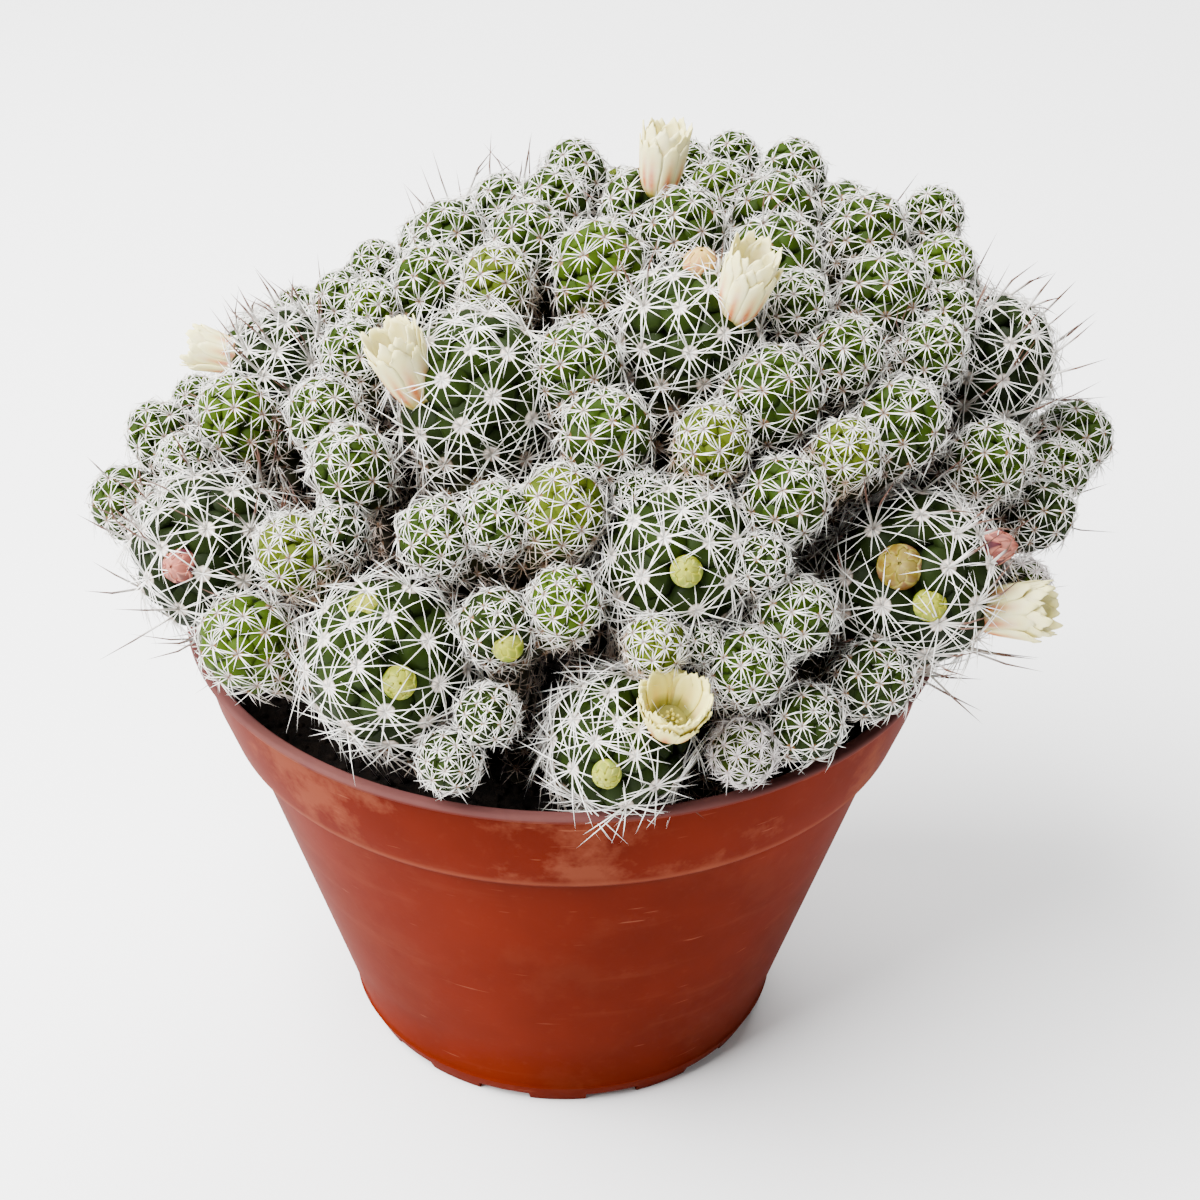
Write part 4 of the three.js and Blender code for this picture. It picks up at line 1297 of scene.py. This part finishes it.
def add_column(skin, stem):
    """The stem between the soil and its necks."""
    sideways = column_sideways(stem)
    rings = []
    for step in range(COLUMN_STEPS):
        share = step / (COLUMN_STEPS - 1)
        place, up = stem.along(stem.place(share))
        u = unit(sideways - float(sideways @ up) * up)
        radius = COLUMN_CORE * column_radius(stem, share)
        rings.append(ring_round(place, u, np.cross(up, u), radius, COLUMN_SIDES))
    root, _ = stem.along(0)
    tip, _ = stem.along(stem.place(1))
    skin.add_turned(root, rings, tip, age=1, height=COLUMN_SHADE, green=0, warm=0, grown=0)


def near_bloom(point):
    """True where a flower or bud stands, which leaves no room for a tubercle."""
    for bloom in ALL_BLOOMS:
        reach = min(max(float((point - bloom.foot) @ bloom.axis), 0), bloom.length)
        if distance(point, bloom.foot + reach * bloom.axis) < BLOOM_ROOM * bloom.half:
            return True
    return False


def areole(place, normal, uphill, area, reach, arms, look, age, grown, central=0):
    """What grows at one place on the skin, in metres where it is a size."""
    facing = unit(normal + UPWARD * (uphill - float(uphill @ normal) * normal))
    # The nudge keeps the product from vanishing where a place faces straight uphill.
    side = unit(np.cross(facing, uphill + NUDGE * facing[::-1]))
    turn = Matrix((np.cross(side, facing), side, facing)).transposed().to_quaternion()
    spacing = math.sqrt(area / HEXAGON_PACKING)
    return {"place": place, "facing": turn, "spacing": spacing * MM, "reach": reach * MM,
            "arms": arms, "central": central, "age": min(1, age), "grown": float(grown),
            "green": look["green"], "warm": look["warm"], "ash": look["ash"]}


def drawn_counts(head, kept, spread, draw):
    """How many central spines and arms an areole has, where kept is the share of its arms that are left."""
    look = LOOKS[head.look]
    central = int(draw.random() < look["central"]) * int(draw.integers(*CENTRAL_COUNTS))
    return central, int(kept * (look["arms"] + GROWN_ARMS * head.grown) + draw.integers(*spread))


def crown_areoles(head, size, draw):
    """The upper half of a head: tight at the tip, wide apart at its sides."""
    u, v = across_frame(head.growth)
    crown, power = CROWN_AREOLES[head.grown], CROWN_GROWTH[head.grown]
    found = []
    for i in range(crown):
        angle = math.radians(i * GOLDEN_ANGLE) + draw.normal(0, TURN_SPREAD)
        tilt = math.pi / 2 * ((i + FIRST_STEP) / crown) ** power
        out = around(head.growth, u, v, angle)
        normal = unit(math.cos(tilt) / HEAD_LENGTH * head.growth + math.sin(tilt) * out)
        area = max(2 * math.pi * size ** 2 * math.sin(tilt) * power * tilt / (i + FIRST_STEP),
                   LEAST_AREA * side_area(head, size))
        youth = YOUNG_REACH + (1 - YOUNG_REACH) * min(1, i / (YOUNG_CROWN * crown))
        central, arms = drawn_counts(head, 1, CROWN_ARM_SPREAD, draw)
        age = SIDE_AGE * (tilt / (math.pi / 2)) ** AGE_POWER + AGE_SPREAD * draw.random()
        found.append(areole(
            head.crown(tilt, out, size), normal, head.growth, area,
            head.radius * SPINE_REACH[head.grown] * youth, arms, LOOKS[head.look], age, head.grown, central))
    return found


def side_area(head, size):
    """The skin that one areole has to itself at a head's sides."""
    return math.pi ** 2 * size ** 2 * CROWN_GROWTH[head.grown] / CROWN_AREOLES[head.grown]


def neck_areoles(head, end, size, draw):
    """The lower half of a head and its neck, spiralling down."""
    u, v = across_frame(head.growth)
    line = neck_line(head, end)
    length = distance(head.centre, end)
    area = side_area(head, size)
    found = []
    run = 0.0
    i = CROWN_AREOLES[head.grown]
    while True:
        run += area / (2 * math.pi * neck_radius(size, run))
        if run > NECK_SHARE * length:
            return found
        middle, down = line(run / length)
        normal = around(down, u, v, math.radians(i * GOLDEN_ANGLE) + draw.normal(0, TURN_SPREAD))
        shorter = max(LEAST_NECK_REACH, 1 - NECK_REACH_LOSS * run / size)
        kept = 1 if run < OLD_RUN * size else OLD_ARMS
        central, arms = drawn_counts(head, kept, NECK_ARM_SPREAD, draw)
        age = neck_age(size, run) + AGE_SPREAD * draw.random()
        found.append(areole(
            middle + neck_radius(size, run) * normal, normal, -down, area,
            head.radius * SPINE_REACH[head.grown] * shorter, arms, LOOKS[head.look], age, head.grown,
            central))
        i += 1


def column_areoles(stem, draw):
    """The old areoles down a stem, above the soil."""
    sideways = column_sideways(stem)
    found = []
    share = 1.0
    i = 0
    while True:
        share -= COLUMN_AREA / (2 * math.pi * column_radius(stem, share)) / stem.length
        if share < 0:
            return found
        place, up = stem.along(stem.place(share))
        if place[2] < SOIL_LEVEL + COLUMN_CLEAR:
            return found
        normal = around(up, sideways, np.cross(up, sideways), math.radians(i * GOLDEN_ANGLE))
        reach = COLUMN_REACH * (1 - COLUMN_SPREAD / 2 + COLUMN_SPREAD * draw.random())
        found.append(areole(place + column_radius(stem, share) * normal, normal, up, COLUMN_AREA, reach,
                            COLUMN_ARMS, LOOKS["dark"], 1, False))
        i += 1


def areoles_of(stem, settings, draw):
    """Every areole of a stem that no flower or bud stands on."""
    found = column_areoles(stem, draw)
    for head in [stem.leader] + stem.offsets:
        size = flesh_size(head, settings)
        found += crown_areoles(head, size, draw) + neck_areoles(head, stem.neck(head), size, draw)
    return [one for one in found if not near_bloom(one["place"])]


def areole_cloud(areoles):
    """The areoles as loose points that carry what grows there."""
    mesh = mesh_of("Areoles", [areole["place"] for areole in areoles])
    for name in ("spacing", "reach", "age", "grown", "green", "warm", "ash"):
        paint(mesh, name, [areole[name] for areole in areoles])
    for name in ("arms", "central"):
        layer = mesh.attributes.new(name, "INT", "POINT")
        layer.data.foreach_set("value", [areole[name] for areole in areoles])
    layer = mesh.attributes.new("facing", "QUATERNION", "POINT")
    layer.data.foreach_set("value", [part for areole in areoles for part in areole["facing"]])
    return new_object("Areoles", mesh)


def tubercle_blank():
    """A rounded cone whose tip is at the origin and whose foot is one unit below. Painted with its height."""
    skin = Skin()
    rings = [[(r * math.cos(a), r * math.sin(a), z) for a in angles_round(TUBERCLE_SIDES)][::-1]
             for r, z in TUBERCLE_OUTLINE]
    skin.add_turned((0, 0, TUBERCLE_TIP), rings, (0, 0, TUBERCLE_FOOT), height=TUBERCLE_HEIGHTS)
    return new_object("Tubercle", skin.mesh("Tubercle", 1))


def spine_blank(bend):
    """A three-sided spine one unit thick at its foot and one unit long, bent towards +X."""
    points, along = [], []
    for radius, share in SPINE_STATIONS:
        for angle in angles_round(SPINE_SIDES):
            points.append((bend * share ** 2 + radius * math.cos(angle), radius * math.sin(angle), share))
            along.append(share)
    points.append((bend, 0, 1))
    along.append(1)
    foot, top = range(SPINE_SIDES), range(SPINE_SIDES, 2 * SPINE_SIDES)
    faces = [tuple(foot)[::-1]]
    for i in foot:
        after = (i + 1) % SPINE_SIDES
        faces.append((i, after, top[after], top[i]))
    faces += [(top[i], top[(i + 1) % SPINE_SIDES], len(points) - 1) for i in foot]
    mesh = mesh_of("Spine", points, faces, 1)
    paint(mesh, "along", along)
    return new_object("Spine", smooth(mesh))


def cactus_tree():
    """Grows a tubercle and a star of spines on every areole, and joins them to the stem's core."""
    tree = GrowthTree("Cactus skin", [
        ("Core", "Object"), ("Tubercle", "Object"), ("Straight Spine", "Object"), ("Curved Spine", "Object"),
        ("Tubercle Width", "Float"), ("Tubercle Height", "Float"), ("Spine Lean", "Float"),
        ("Lean Spread", "Float"), ("Spine Thickness", "Float"), ("Grown Thickness", "Float"),
        ("Central Length", "Float"), ("Seed", "Int"), ("Flesh", "Material"), ("Spines", "Material")])
    areoles = tree.given("Geometry")
    seed = tree.given("Seed")
    facing = tree.named("facing", "QUATERNION")
    spacing = tree.named("spacing")
    reach = tree.named("reach")
    grown = tree.named("grown")

    width = spacing * tree.given("Tubercle Width")
    height = spacing * tree.given("Tubercle Height")
    cone_size = tree.wire("ShaderNodeCombineXYZ", {}, {0: width, 1: width, 2: height})
    tubercles = tree.wire("GeometryNodeInstanceOnPoints", {}, {
        "Points": areoles, "Instance": tree.shape_of("Tubercle"), "Rotation": facing, "Scale": cone_size})
    flesh = tree.realized(tree.joined(tree.shape_of("Core"), tubercles), "Flesh")

    blanks = tree.joined(*[
        tree.wire("GeometryNodeGeometryToInstance", {}, {"Geometry": tree.shape_of(label)})
        for label in ("Straight Spine", "Curved Spine")])
    thickness = (1 - grown) * tree.given("Spine Thickness") + grown * tree.given("Grown Thickness")

    def spines(count, lean, length, girth, dark, offset):
        duplicate = tree.node("GeometryNodeDuplicateElements", {"domain": "POINT"},
                              {"Geometry": areoles, "Amount": count})
        copies, order = (Wire(tree, duplicate.outputs[name]) for name in ("Geometry", "Duplicate Index"))
        step = 2 * math.pi / tree.named("arms")
        turn = order * step + tree.chance(-SPINE_TURNS, SPINE_TURNS, seed + offset)
        pointing = tree.turned(tree.turned(facing, (0, 0, 1), turn), (0, 1, 0), lean)
        long = reach * length * tree.chance(*SPINE_LENGTHS, seed + (offset + 1))
        thick = thickness * girth * tree.chance(*SPINE_GIRTHS, seed + (offset + 2))
        size = tree.wire("ShaderNodeCombineXYZ", {}, {0: thick, 1: thick, 2: long})
        # Rounded down, this picks either blank as often.
        pick = tree.chance(0, UNDER_TWO, seed + (offset + 3))
        stars = tree.wire("GeometryNodeInstanceOnPoints", {}, {
            "Points": copies, "Instance": blanks, "Pick Instance": True, "Instance Index": pick,
            "Rotation": pointing, "Scale": size})
        stars = tree.stored(stars, "dark", dark)
        return tree.stored(stars, "luck", tree.chance(0, 1, seed + (offset + 4)))

    spread = tree.given("Lean Spread")
    lean = tree.given("Spine Lean") + spread * tree.chance(-1, 1, seed + 10)
    radial = spines(tree.named("arms", "INT"), lean, 1.0, 1.0, 0.0, 20)
    central_lean = tree.chance(*CENTRAL_LEANS, seed + 11)
    central = spines(tree.named("central", "INT"), central_lean, tree.given("Central Length"), CENTRAL_GIRTH,
                     1.0, 40)
    tree.finish(tree.joined(flesh, tree.realized(tree.joined(radial, central), "Spines")))
    return tree


# ======== Flowers and buds ========

PETAL_ROWS = 11
PETAL_COLUMNS = 7
PETAL_CUP = 0.03
TEETH_POWER = 8
NARROWEST_BLOOM = 0.35
NO_TEETH = (0,) * PETAL_COLUMNS
BODY_SIDES = 20
PETAL_WIDTH = ([0, 0.25, 0.6, 0.85, 1], [0.55, 0.82, 1.05, 0.96, 0.58])
PETAL_TEETH = (-0.13, -0.055, -0.025, 0, -0.02, -0.05, -0.12)
CUP_TEETH = (-0.16, -0.05, -0.09, 0, -0.08, -0.03, -0.15)
TEETH_SPREAD = (-0.04, 0.02)
PETAL_OVERLAP = 1.18
PETAL_THICKNESS = 0.22
PETAL_TURNS = 0.06
SPLAY_SPREAD = 0.07
HEIGHT_SPREAD = 0.05
WIDTH_SPREAD = 0.1
FLOWER_SHAPE = ([0, 0.15, 0.35, 0.65, 1], [0.42, 0.64, 0.8, 0.9, 0.98])
THROAT_SHAPE = [(0.3, 0), (0.5, 0.12), (0.54, 0.18), (0.3, 0.13)]
STAMENS = 14
STAMEN_SIDES = 5
STAMEN_SPREAD = 0.3
STAMEN_FOOT = 0.12
STAMEN_TIP = 0.2
STAMEN_TIP_SPREAD = 0.07
FILAMENT_RADII = (0.14, 0.12)
POLLEN_RINGS = ((0.25, 0.36), (0.7, 0.3))
POLLEN_LENGTH = 0.85
SCALES = 5
SCALE_WIDTH = ([0, 0.3, 0.7, 1], [0.7, 1, 0.85, 0.1])
SCALE_SHARE = 0.78
SCALE_STAND_OFF = 0.1
SCALE_THICKNESS = 0.2
SCALE_TURNS = 0.05
CLOSING_SHARE = 0.68
LAYER_DROP = 0.035
LAYER_FADE = 0.4
BUD_SHAPE = ([0, 0.18, 0.4, 0.62, 0.82, 0.94, 1], [0.6, 0.86, 1, 0.93, 0.62, 0.28, 0.05])
BUD_CORE = 0.88
BUD_CORE_OUTER = 0.6

# Each layer's width and height as shares of the bloom's, and how streaked a flower's layer is.
FLOWER_LAYERS = ((1.0, 0.8, 1.0), (0.95, 0.98, 0.5), (0.89, 0.92, 0.1))
BUD_LAYERS = ((1.0, 0.74), (0.97, 0.9), (0.93, 1.0))


class Whorl:
    """Gathers petals as thin sheets in a bloom's own frame, painted along and across."""

    def __init__(self, bloom):
        self.bloom = bloom
        self.u, self.v = across_frame(bloom.axis)
        self.points = []
        self.faces = []
        self.paints = {"along": [], "across": [], "outer": [], "yellow": []}

    def spot(self, radius, angle, height):
        bend = self.bloom.bend * height / self.bloom.length
        middle = self.bloom.foot + height * (self.bloom.axis + 0.5 * bend * self.v)
        rise = math.cos(bend) * self.v - math.sin(bend) * self.bloom.axis
        return middle + radius * (math.cos(angle) * self.u + math.sin(angle) * rise)

    def add_petal(self, middle, wide, radius_at, height, outer, teeth=NO_TEETH):
        """A petal round an angle. wide and radius_at give its half width and its distance from the axis."""
        half = self.bloom.half
        first = len(self.points)
        for row in range(PETAL_ROWS):
            along = row / (PETAL_ROWS - 1)
            radius = radius_at(along)
            for column in range(PETAL_COLUMNS):
                across = 2 * column / (PETAL_COLUMNS - 1) - 1
                lift = teeth[column] * along ** TEETH_POWER
                angle = middle + across * wide(along) / max(radius, NARROWEST_BLOOM * half)
                cup = PETAL_CUP * half * (1 - across ** 2)
                self.points.append(self.spot(radius + cup, angle, (along + lift) * height))
                for name, value in (("along", along), ("across", abs(across)), ("outer", outer),
                                    ("yellow", self.bloom.yellow)):
                    self.paints[name].append(value)
        for row in range(PETAL_ROWS - 1):
            for column in range(PETAL_COLUMNS - 1):
                a = first + row * PETAL_COLUMNS + column
                self.faces.append((a, a + 1, a + PETAL_COLUMNS + 1, a + PETAL_COLUMNS))

    def sheet(self, name, thickness):
        """The petals as closed thin bodies."""
        mesh = mesh_of(name, self.points, self.faces)
        for label, values in self.paints.items():
            paint(mesh, label, values)
        obj = new_object(name, smooth(mesh))
        solid = obj.modifiers.new("Thickness", "SOLIDIFY")
        solid.thickness = thickness * MM
        solid.offset = 0
        result = evaluated_mesh(obj)
        discard(obj)
        return result


def bloom_body(bloom, profile, outer):
    """A closed turned body in a bloom's frame, through (radius share, height share) pairs."""
    whorl = Whorl(bloom)
    skin = Skin()
    rings = [[whorl.spot(r * bloom.half, a, h * bloom.length) for a in angles_round(BODY_SIDES)]
             for r, h in profile]
    poles = [whorl.spot(0, 0, profile[end][1] * bloom.length) for end in (0, -1)]
    skin.add_turned(poles[0], rings, poles[1], along=[h for _, h in profile], across=1, outer=outer,
                    yellow=bloom.yellow)
    return skin.mesh("Bloom body")


def joined_mesh(name, parts):
    """One mesh from (mesh, material) pairs, which keeps each part's material and painted numbers."""
    made = [new_object(name, mesh) for mesh, _ in parts]
    for obj, (_, material) in zip(made, parts):
        obj.data.materials.clear()
        obj.data.materials.append(material)
    with bpy.context.temp_override(active_object=made[0], object=made[0], selected_objects=made,
                                   selected_editable_objects=made):
        bpy.ops.object.join()
    mesh = made[0].data
    discard(made[0])
    return mesh


def add_stamens(bloom, skin, draw):
    """Thin filaments with pollen heads in a flower's throat."""
    whorl = Whorl(bloom)
    for i in range(STAMENS):
        angle = math.radians(i * GOLDEN_ANGLE)
        spread = STAMEN_SPREAD * bloom.half * math.sqrt((i + 0.5) / STAMENS)
        foot = whorl.spot(0.5 * spread, angle, STAMEN_FOOT * bloom.length)
        tip = whorl.spot(spread, angle, (STAMEN_TIP + STAMEN_TIP_SPREAD * draw.random()) * bloom.length)
        along = unit(tip - foot)
        u, v = across_frame(along)
        stations = list(zip((foot, tip), FILAMENT_RADII))
        stations += [(tip + past * along, radius) for past, radius in POLLEN_RINGS]
        rings = [ring_round(place, u, v, radius, STAMEN_SIDES)[::-1] for place, radius in stations]
        skin.add_turned(tip + POLLEN_LENGTH * along, rings[::-1], foot)


def flower_mesh(bloom, settings, materials, draw):
    petal, pollen = materials
    teeth = CUP_TEETH if bloom.yellow else PETAL_TEETH
    whorl = Whorl(bloom)
    for layer, (inset, tall, outer) in enumerate(FLOWER_LAYERS):
        count = settings.petals + (layer == 0)
        for i in range(count):
            middle = 2 * math.pi * (i + 0.5 * (layer % 2)) / count + draw.normal(0, PETAL_TURNS)
            splay = bloom.flare * (1 + SPLAY_SPREAD * draw.normal()) - 1
            height = bloom.length * tall * (1 + HEIGHT_SPREAD * draw.normal())
            width = PETAL_OVERLAP * math.pi * bloom.half / count * (1 + WIDTH_SPREAD * draw.normal())

            def wide(s):
                return width * float(np.interp(s, *PETAL_WIDTH))

            def radius_at(s):
                return bloom.half * inset * float(np.interp(s, *FLOWER_SHAPE)) * (1 + splay * s ** 2)
            whorl.add_petal(middle, wide, radius_at, min(height, bloom.length), outer,
                            teeth + draw.uniform(*TEETH_SPREAD, PETAL_COLUMNS))
    stamens = Skin()
    add_stamens(bloom, stamens, draw)
    return joined_mesh("Flower", [
        (whorl.sheet("Petals", PETAL_THICKNESS), petal), (bloom_body(bloom, THROAT_SHAPE, 0), petal),
        (stamens.mesh("Stamens"), pollen)])


def bud_mesh(bloom, material, draw):
    bloom = copy.copy(bloom)
    bloom.length += BUD_RISE
    bloom.half *= BUD_SWELL
    whorl = Whorl(bloom)
    for layer, (inset, tall) in enumerate(BUD_LAYERS):
        for i in range(SCALES):
            middle = 2 * math.pi * (i + 0.5 * layer) / SCALES + draw.normal(0, SCALE_TURNS)

            def shape(s):
                return float(np.interp(s * tall, *BUD_SHAPE))

            def radius_at(s):
                return bloom.half * inset * shape(s) + SCALE_STAND_OFF

            def wide(s):
                if tall == 1:
                    return CLOSING_SHARE * max(radius_at(s), NARROWEST_BLOOM * bloom.half)
                return shape(s) * SCALE_SHARE * bloom.half * float(np.interp(s, *SCALE_WIDTH))
            height = bloom.length * tall * (1 - LAYER_DROP * layer)
            whorl.add_petal(middle, wide, radius_at, height, 1 - LAYER_FADE * layer)
    core = [(BUD_CORE * r, BUD_CORE * h) for h, r in zip(*BUD_SHAPE)]
    return joined_mesh("Bud", [(whorl.sheet("Scales", SCALE_THICKNESS), material),
                               (bloom_body(bloom, core, BUD_CORE_OUTER), material)])


# ======== Operators ========


class MakeOperator(Operator):
    """Shared by every operator here."""
    bl_options = {"REGISTER", "UNDO"}


class CACTUS_OT_make_pot(MakeOperator):
    """Make the plastic nursery pot"""
    bl_idname = "cactus.make_pot"
    bl_label = "Make Pot"

    def execute(self, context):
        mesh = pot_mesh(context.scene.cactus_pot)
        if not mesh.polygons:
            raise RuntimeError("the pot came out empty")
        replace_object(mesh, "Pot", "pot")
        return {"FINISHED"}


class CACTUS_OT_make_soil(MakeOperator):
    """Make the soil with its clods"""
    bl_idname = "cactus.make_soil"
    bl_label = "Make Soil"

    def execute(self, context):
        settings = context.scene.cactus_soil
        bed = new_object("Soil bed", soil_bed())
        clod = clod_blank()
        mesh = grown_mesh(bed, clod_tree(), {
            "Clod": clod, "Clods per m2": settings.clods, "Clod Size": settings.clod_size,
            "Seed": SOIL_SEED, "Soil": soil_material(settings)})
        discard(bed, clod)
        replace_object(mesh, "Soil", "soil")
        return {"FINISHED"}


class CACTUS_OT_make_stems(MakeOperator):
    """Make every stem with its heads and their spines"""
    bl_idname = "cactus.make_stems"
    bl_label = "Make Stems"

    def execute(self, context):
        settings = context.scene.cactus_clump
        tree = cactus_tree()
        blanks = [tubercle_blank()] + [spine_blank(bend) for bend in SPINE_BENDS]
        shared = dict(zip(("Tubercle", "Straight Spine", "Curved Spine"), blanks))
        shared.update({"Flesh": flesh_material(), "Spines": spine_material()})
        for number, stem in enumerate(STEMS, 1):
            node = f"stem_{number:02d}"
            self.check_place(node, stem)
            stem.radii = stem_radii(stem, STEMS)
            self.make_stem(number, node, stem, tree, shared, settings)
        discard(*blanks)
        return {"FINISHED"}

    def check_place(self, node, stem):
        low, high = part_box(node)
        for head in [stem.leader] + stem.offsets:
            inside = all(low[i] <= head.centre[i] * MM <= high[i] for i in range(3))
            if not inside:
                raise RuntimeError(f"a head of {node} is not where its solid is")

    def make_stem(self, number, node, stem, tree, shared, settings):
        draw = np.random.default_rng(settings.seed + number)
        skin = Skin()
        add_column(skin, stem)
        for head in [stem.leader] + stem.offsets:
            add_core(skin, head, stem.neck(head), flesh_size(head, settings))
        cloud = areole_cloud(areoles_of(stem, settings, draw))
        core = new_object("Core", skin.mesh("Core"))
        mesh = grown_mesh(cloud, tree, {
            **shared, "Core": core, "Tubercle Width": TUBERCLE_WIDTH, "Tubercle Height": TUBERCLE_HEIGHT,
            "Spine Lean": settings.spine_lean, "Lean Spread": settings.lean_spread,
            "Spine Thickness": settings.spine_thickness, "Grown Thickness": settings.grown_thickness,
            "Central Length": settings.central_share, "Seed": settings.seed + SEED_STEP * number})
        discard(cloud, core)
        replace_object(mesh, f"Cactus_{number:02d}", node)


class CACTUS_OT_make_blooms(MakeOperator):
    """Make the flowers and the buds"""
    bl_idname = "cactus.make_blooms"
    bl_label = "Make Flowers and Buds"

    def execute(self, context):
        settings = context.scene.cactus_bloom
        draw = np.random.default_rng(BLOOM_SEED)
        petal = petal_material("Petal", settings.cream, settings.blush, FLOWER_GREEN, FLOWER_SHEEN, 0)
        pollen = pollen_material()
        for number, bloom in enumerate(FLOWER_BLOOMS, 1):
            mesh = flower_mesh(bloom, settings, (petal, pollen), draw)
            replace_object(mesh, f"Flower_{number}", f"flower_{number}")
        materials = {slot: petal_material(slot.replace("_", " "), *tint, BUD_SHEEN, BUD_STREAK_AT_TIP)
                     for slot, tint in BUD_TINTS.items()}
        for number, (bloom, row) in enumerate(zip(BUD_BLOOMS, BUDS), 1):
            mesh = bud_mesh(bloom, materials[row[4]], draw)
            replace_object(mesh, f"Bud_{number:02d}", f"bud_{number}")
        return {"FINISHED"}


class CACTUS_OT_make_stage(MakeOperator):
    """Make the floor, the lights and the camera"""
    bl_idname = "cactus.make_stage"
    bl_label = "Make Stage"

    def execute(self, context):
        settings = context.scene.cactus_stage
        corners = [(x * FLOOR_HALF, y * FLOOR_HALF, 0) for x, y in ((-1, -1), (1, -1), (1, 1), (-1, 1))]
        floor = new_object("Floor", mesh_of("Floor", corners, [(0, 1, 2, 3)], 1))
        floor.data.materials.append(floor_material(settings))
        self.add_light("Key", *KEY_LIGHT, settings.key)
        self.add_light("Fill", *FILL_LIGHT, settings.fill)
        self.add_light("Back", *BACK_LIGHT, settings.back)
        world = bpy.data.worlds.new("Sky")
        world.use_nodes = True
        background = world.node_tree.nodes["Background"]
        background.inputs["Color"].default_value = (1, 1, 1, 1)
        background.inputs["Strength"].default_value = settings.sky
        context.scene.world = world
        self.add_camera(context)
        return {"FINISHED"}

    def add_light(self, name, place, size, power):
        data = bpy.data.lights.new(name, "AREA")
        data.size = size
        data.energy = power
        light = new_object(name, data)
        light.location = place
        light.rotation_euler = (Vector(LIGHT_AIM) - Vector(place)).to_track_quat("-Z", "Y").to_euler()

    def add_camera(self, context):
        data = bpy.data.cameras.new("Camera")
        data.lens = FOCAL_PIXELS * SENSOR_MM / PHOTO_PIXELS
        data.sensor_width = SENSOR_MM
        camera = new_object("Camera", data)
        forward = Vector((math.sin(CAMERA_YAW) * math.cos(CAMERA_PITCH),
                          math.cos(CAMERA_YAW) * math.cos(CAMERA_PITCH), -math.sin(CAMERA_PITCH)))
        level = Vector((math.cos(CAMERA_YAW), -math.sin(CAMERA_YAW), 0))
        upright = level.cross(forward)
        right = level * math.cos(CAMERA_ROLL) + upright * math.sin(CAMERA_ROLL)
        up = upright * math.cos(CAMERA_ROLL) - level * math.sin(CAMERA_ROLL)
        turn = Matrix((right, up, -forward)).transposed().to_4x4()
        camera.matrix_world = Matrix.Translation(CAMERA_PLACE) @ turn
        context.scene.camera = camera


class CACTUS_PT_panel(Panel):
    """The cactus's pieces, in the 3D view's sidebar"""
    bl_idname = "CACTUS_PT_panel"
    bl_label = "Potted Round Cactus"
    bl_space_type = "VIEW_3D"
    bl_region_type = "UI"
    bl_category = "Cactus"

    def draw(self, context):
        for settings, _, operator in GROUPS:
            box = self.layout.box()
            group = getattr(context.scene, settings)
            for name in group.__annotations__:
                box.prop(group, name)
            box.operator(operator.bl_idname)


GROUPS = (
    ("cactus_pot", PotSettings, CACTUS_OT_make_pot),
    ("cactus_soil", SoilSettings, CACTUS_OT_make_soil),
    ("cactus_clump", ClumpSettings, CACTUS_OT_make_stems),
    ("cactus_bloom", BloomSettings, CACTUS_OT_make_blooms),
    ("cactus_stage", StageSettings, CACTUS_OT_make_stage),
)


def register():
    for name, settings, operator in GROUPS:
        bpy.utils.register_class(settings)
        setattr(bpy.types.Scene, name, PointerProperty(type=settings))
        bpy.utils.register_class(operator)
    bpy.utils.register_class(CACTUS_PT_panel)


def unregister():
    bpy.utils.unregister_class(CACTUS_PT_panel)
    for name, settings, operator in reversed(GROUPS):
        bpy.utils.unregister_class(operator)
        delattr(bpy.types.Scene, name)
        bpy.utils.unregister_class(settings)


def main():
    register()
    bpy.ops.cactus.make_pot()
    bpy.ops.cactus.make_soil()
    bpy.ops.cactus.make_stems()
    bpy.ops.cactus.make_blooms()
    bpy.ops.cactus.make_stage()


if __name__ == "__main__":
    main()
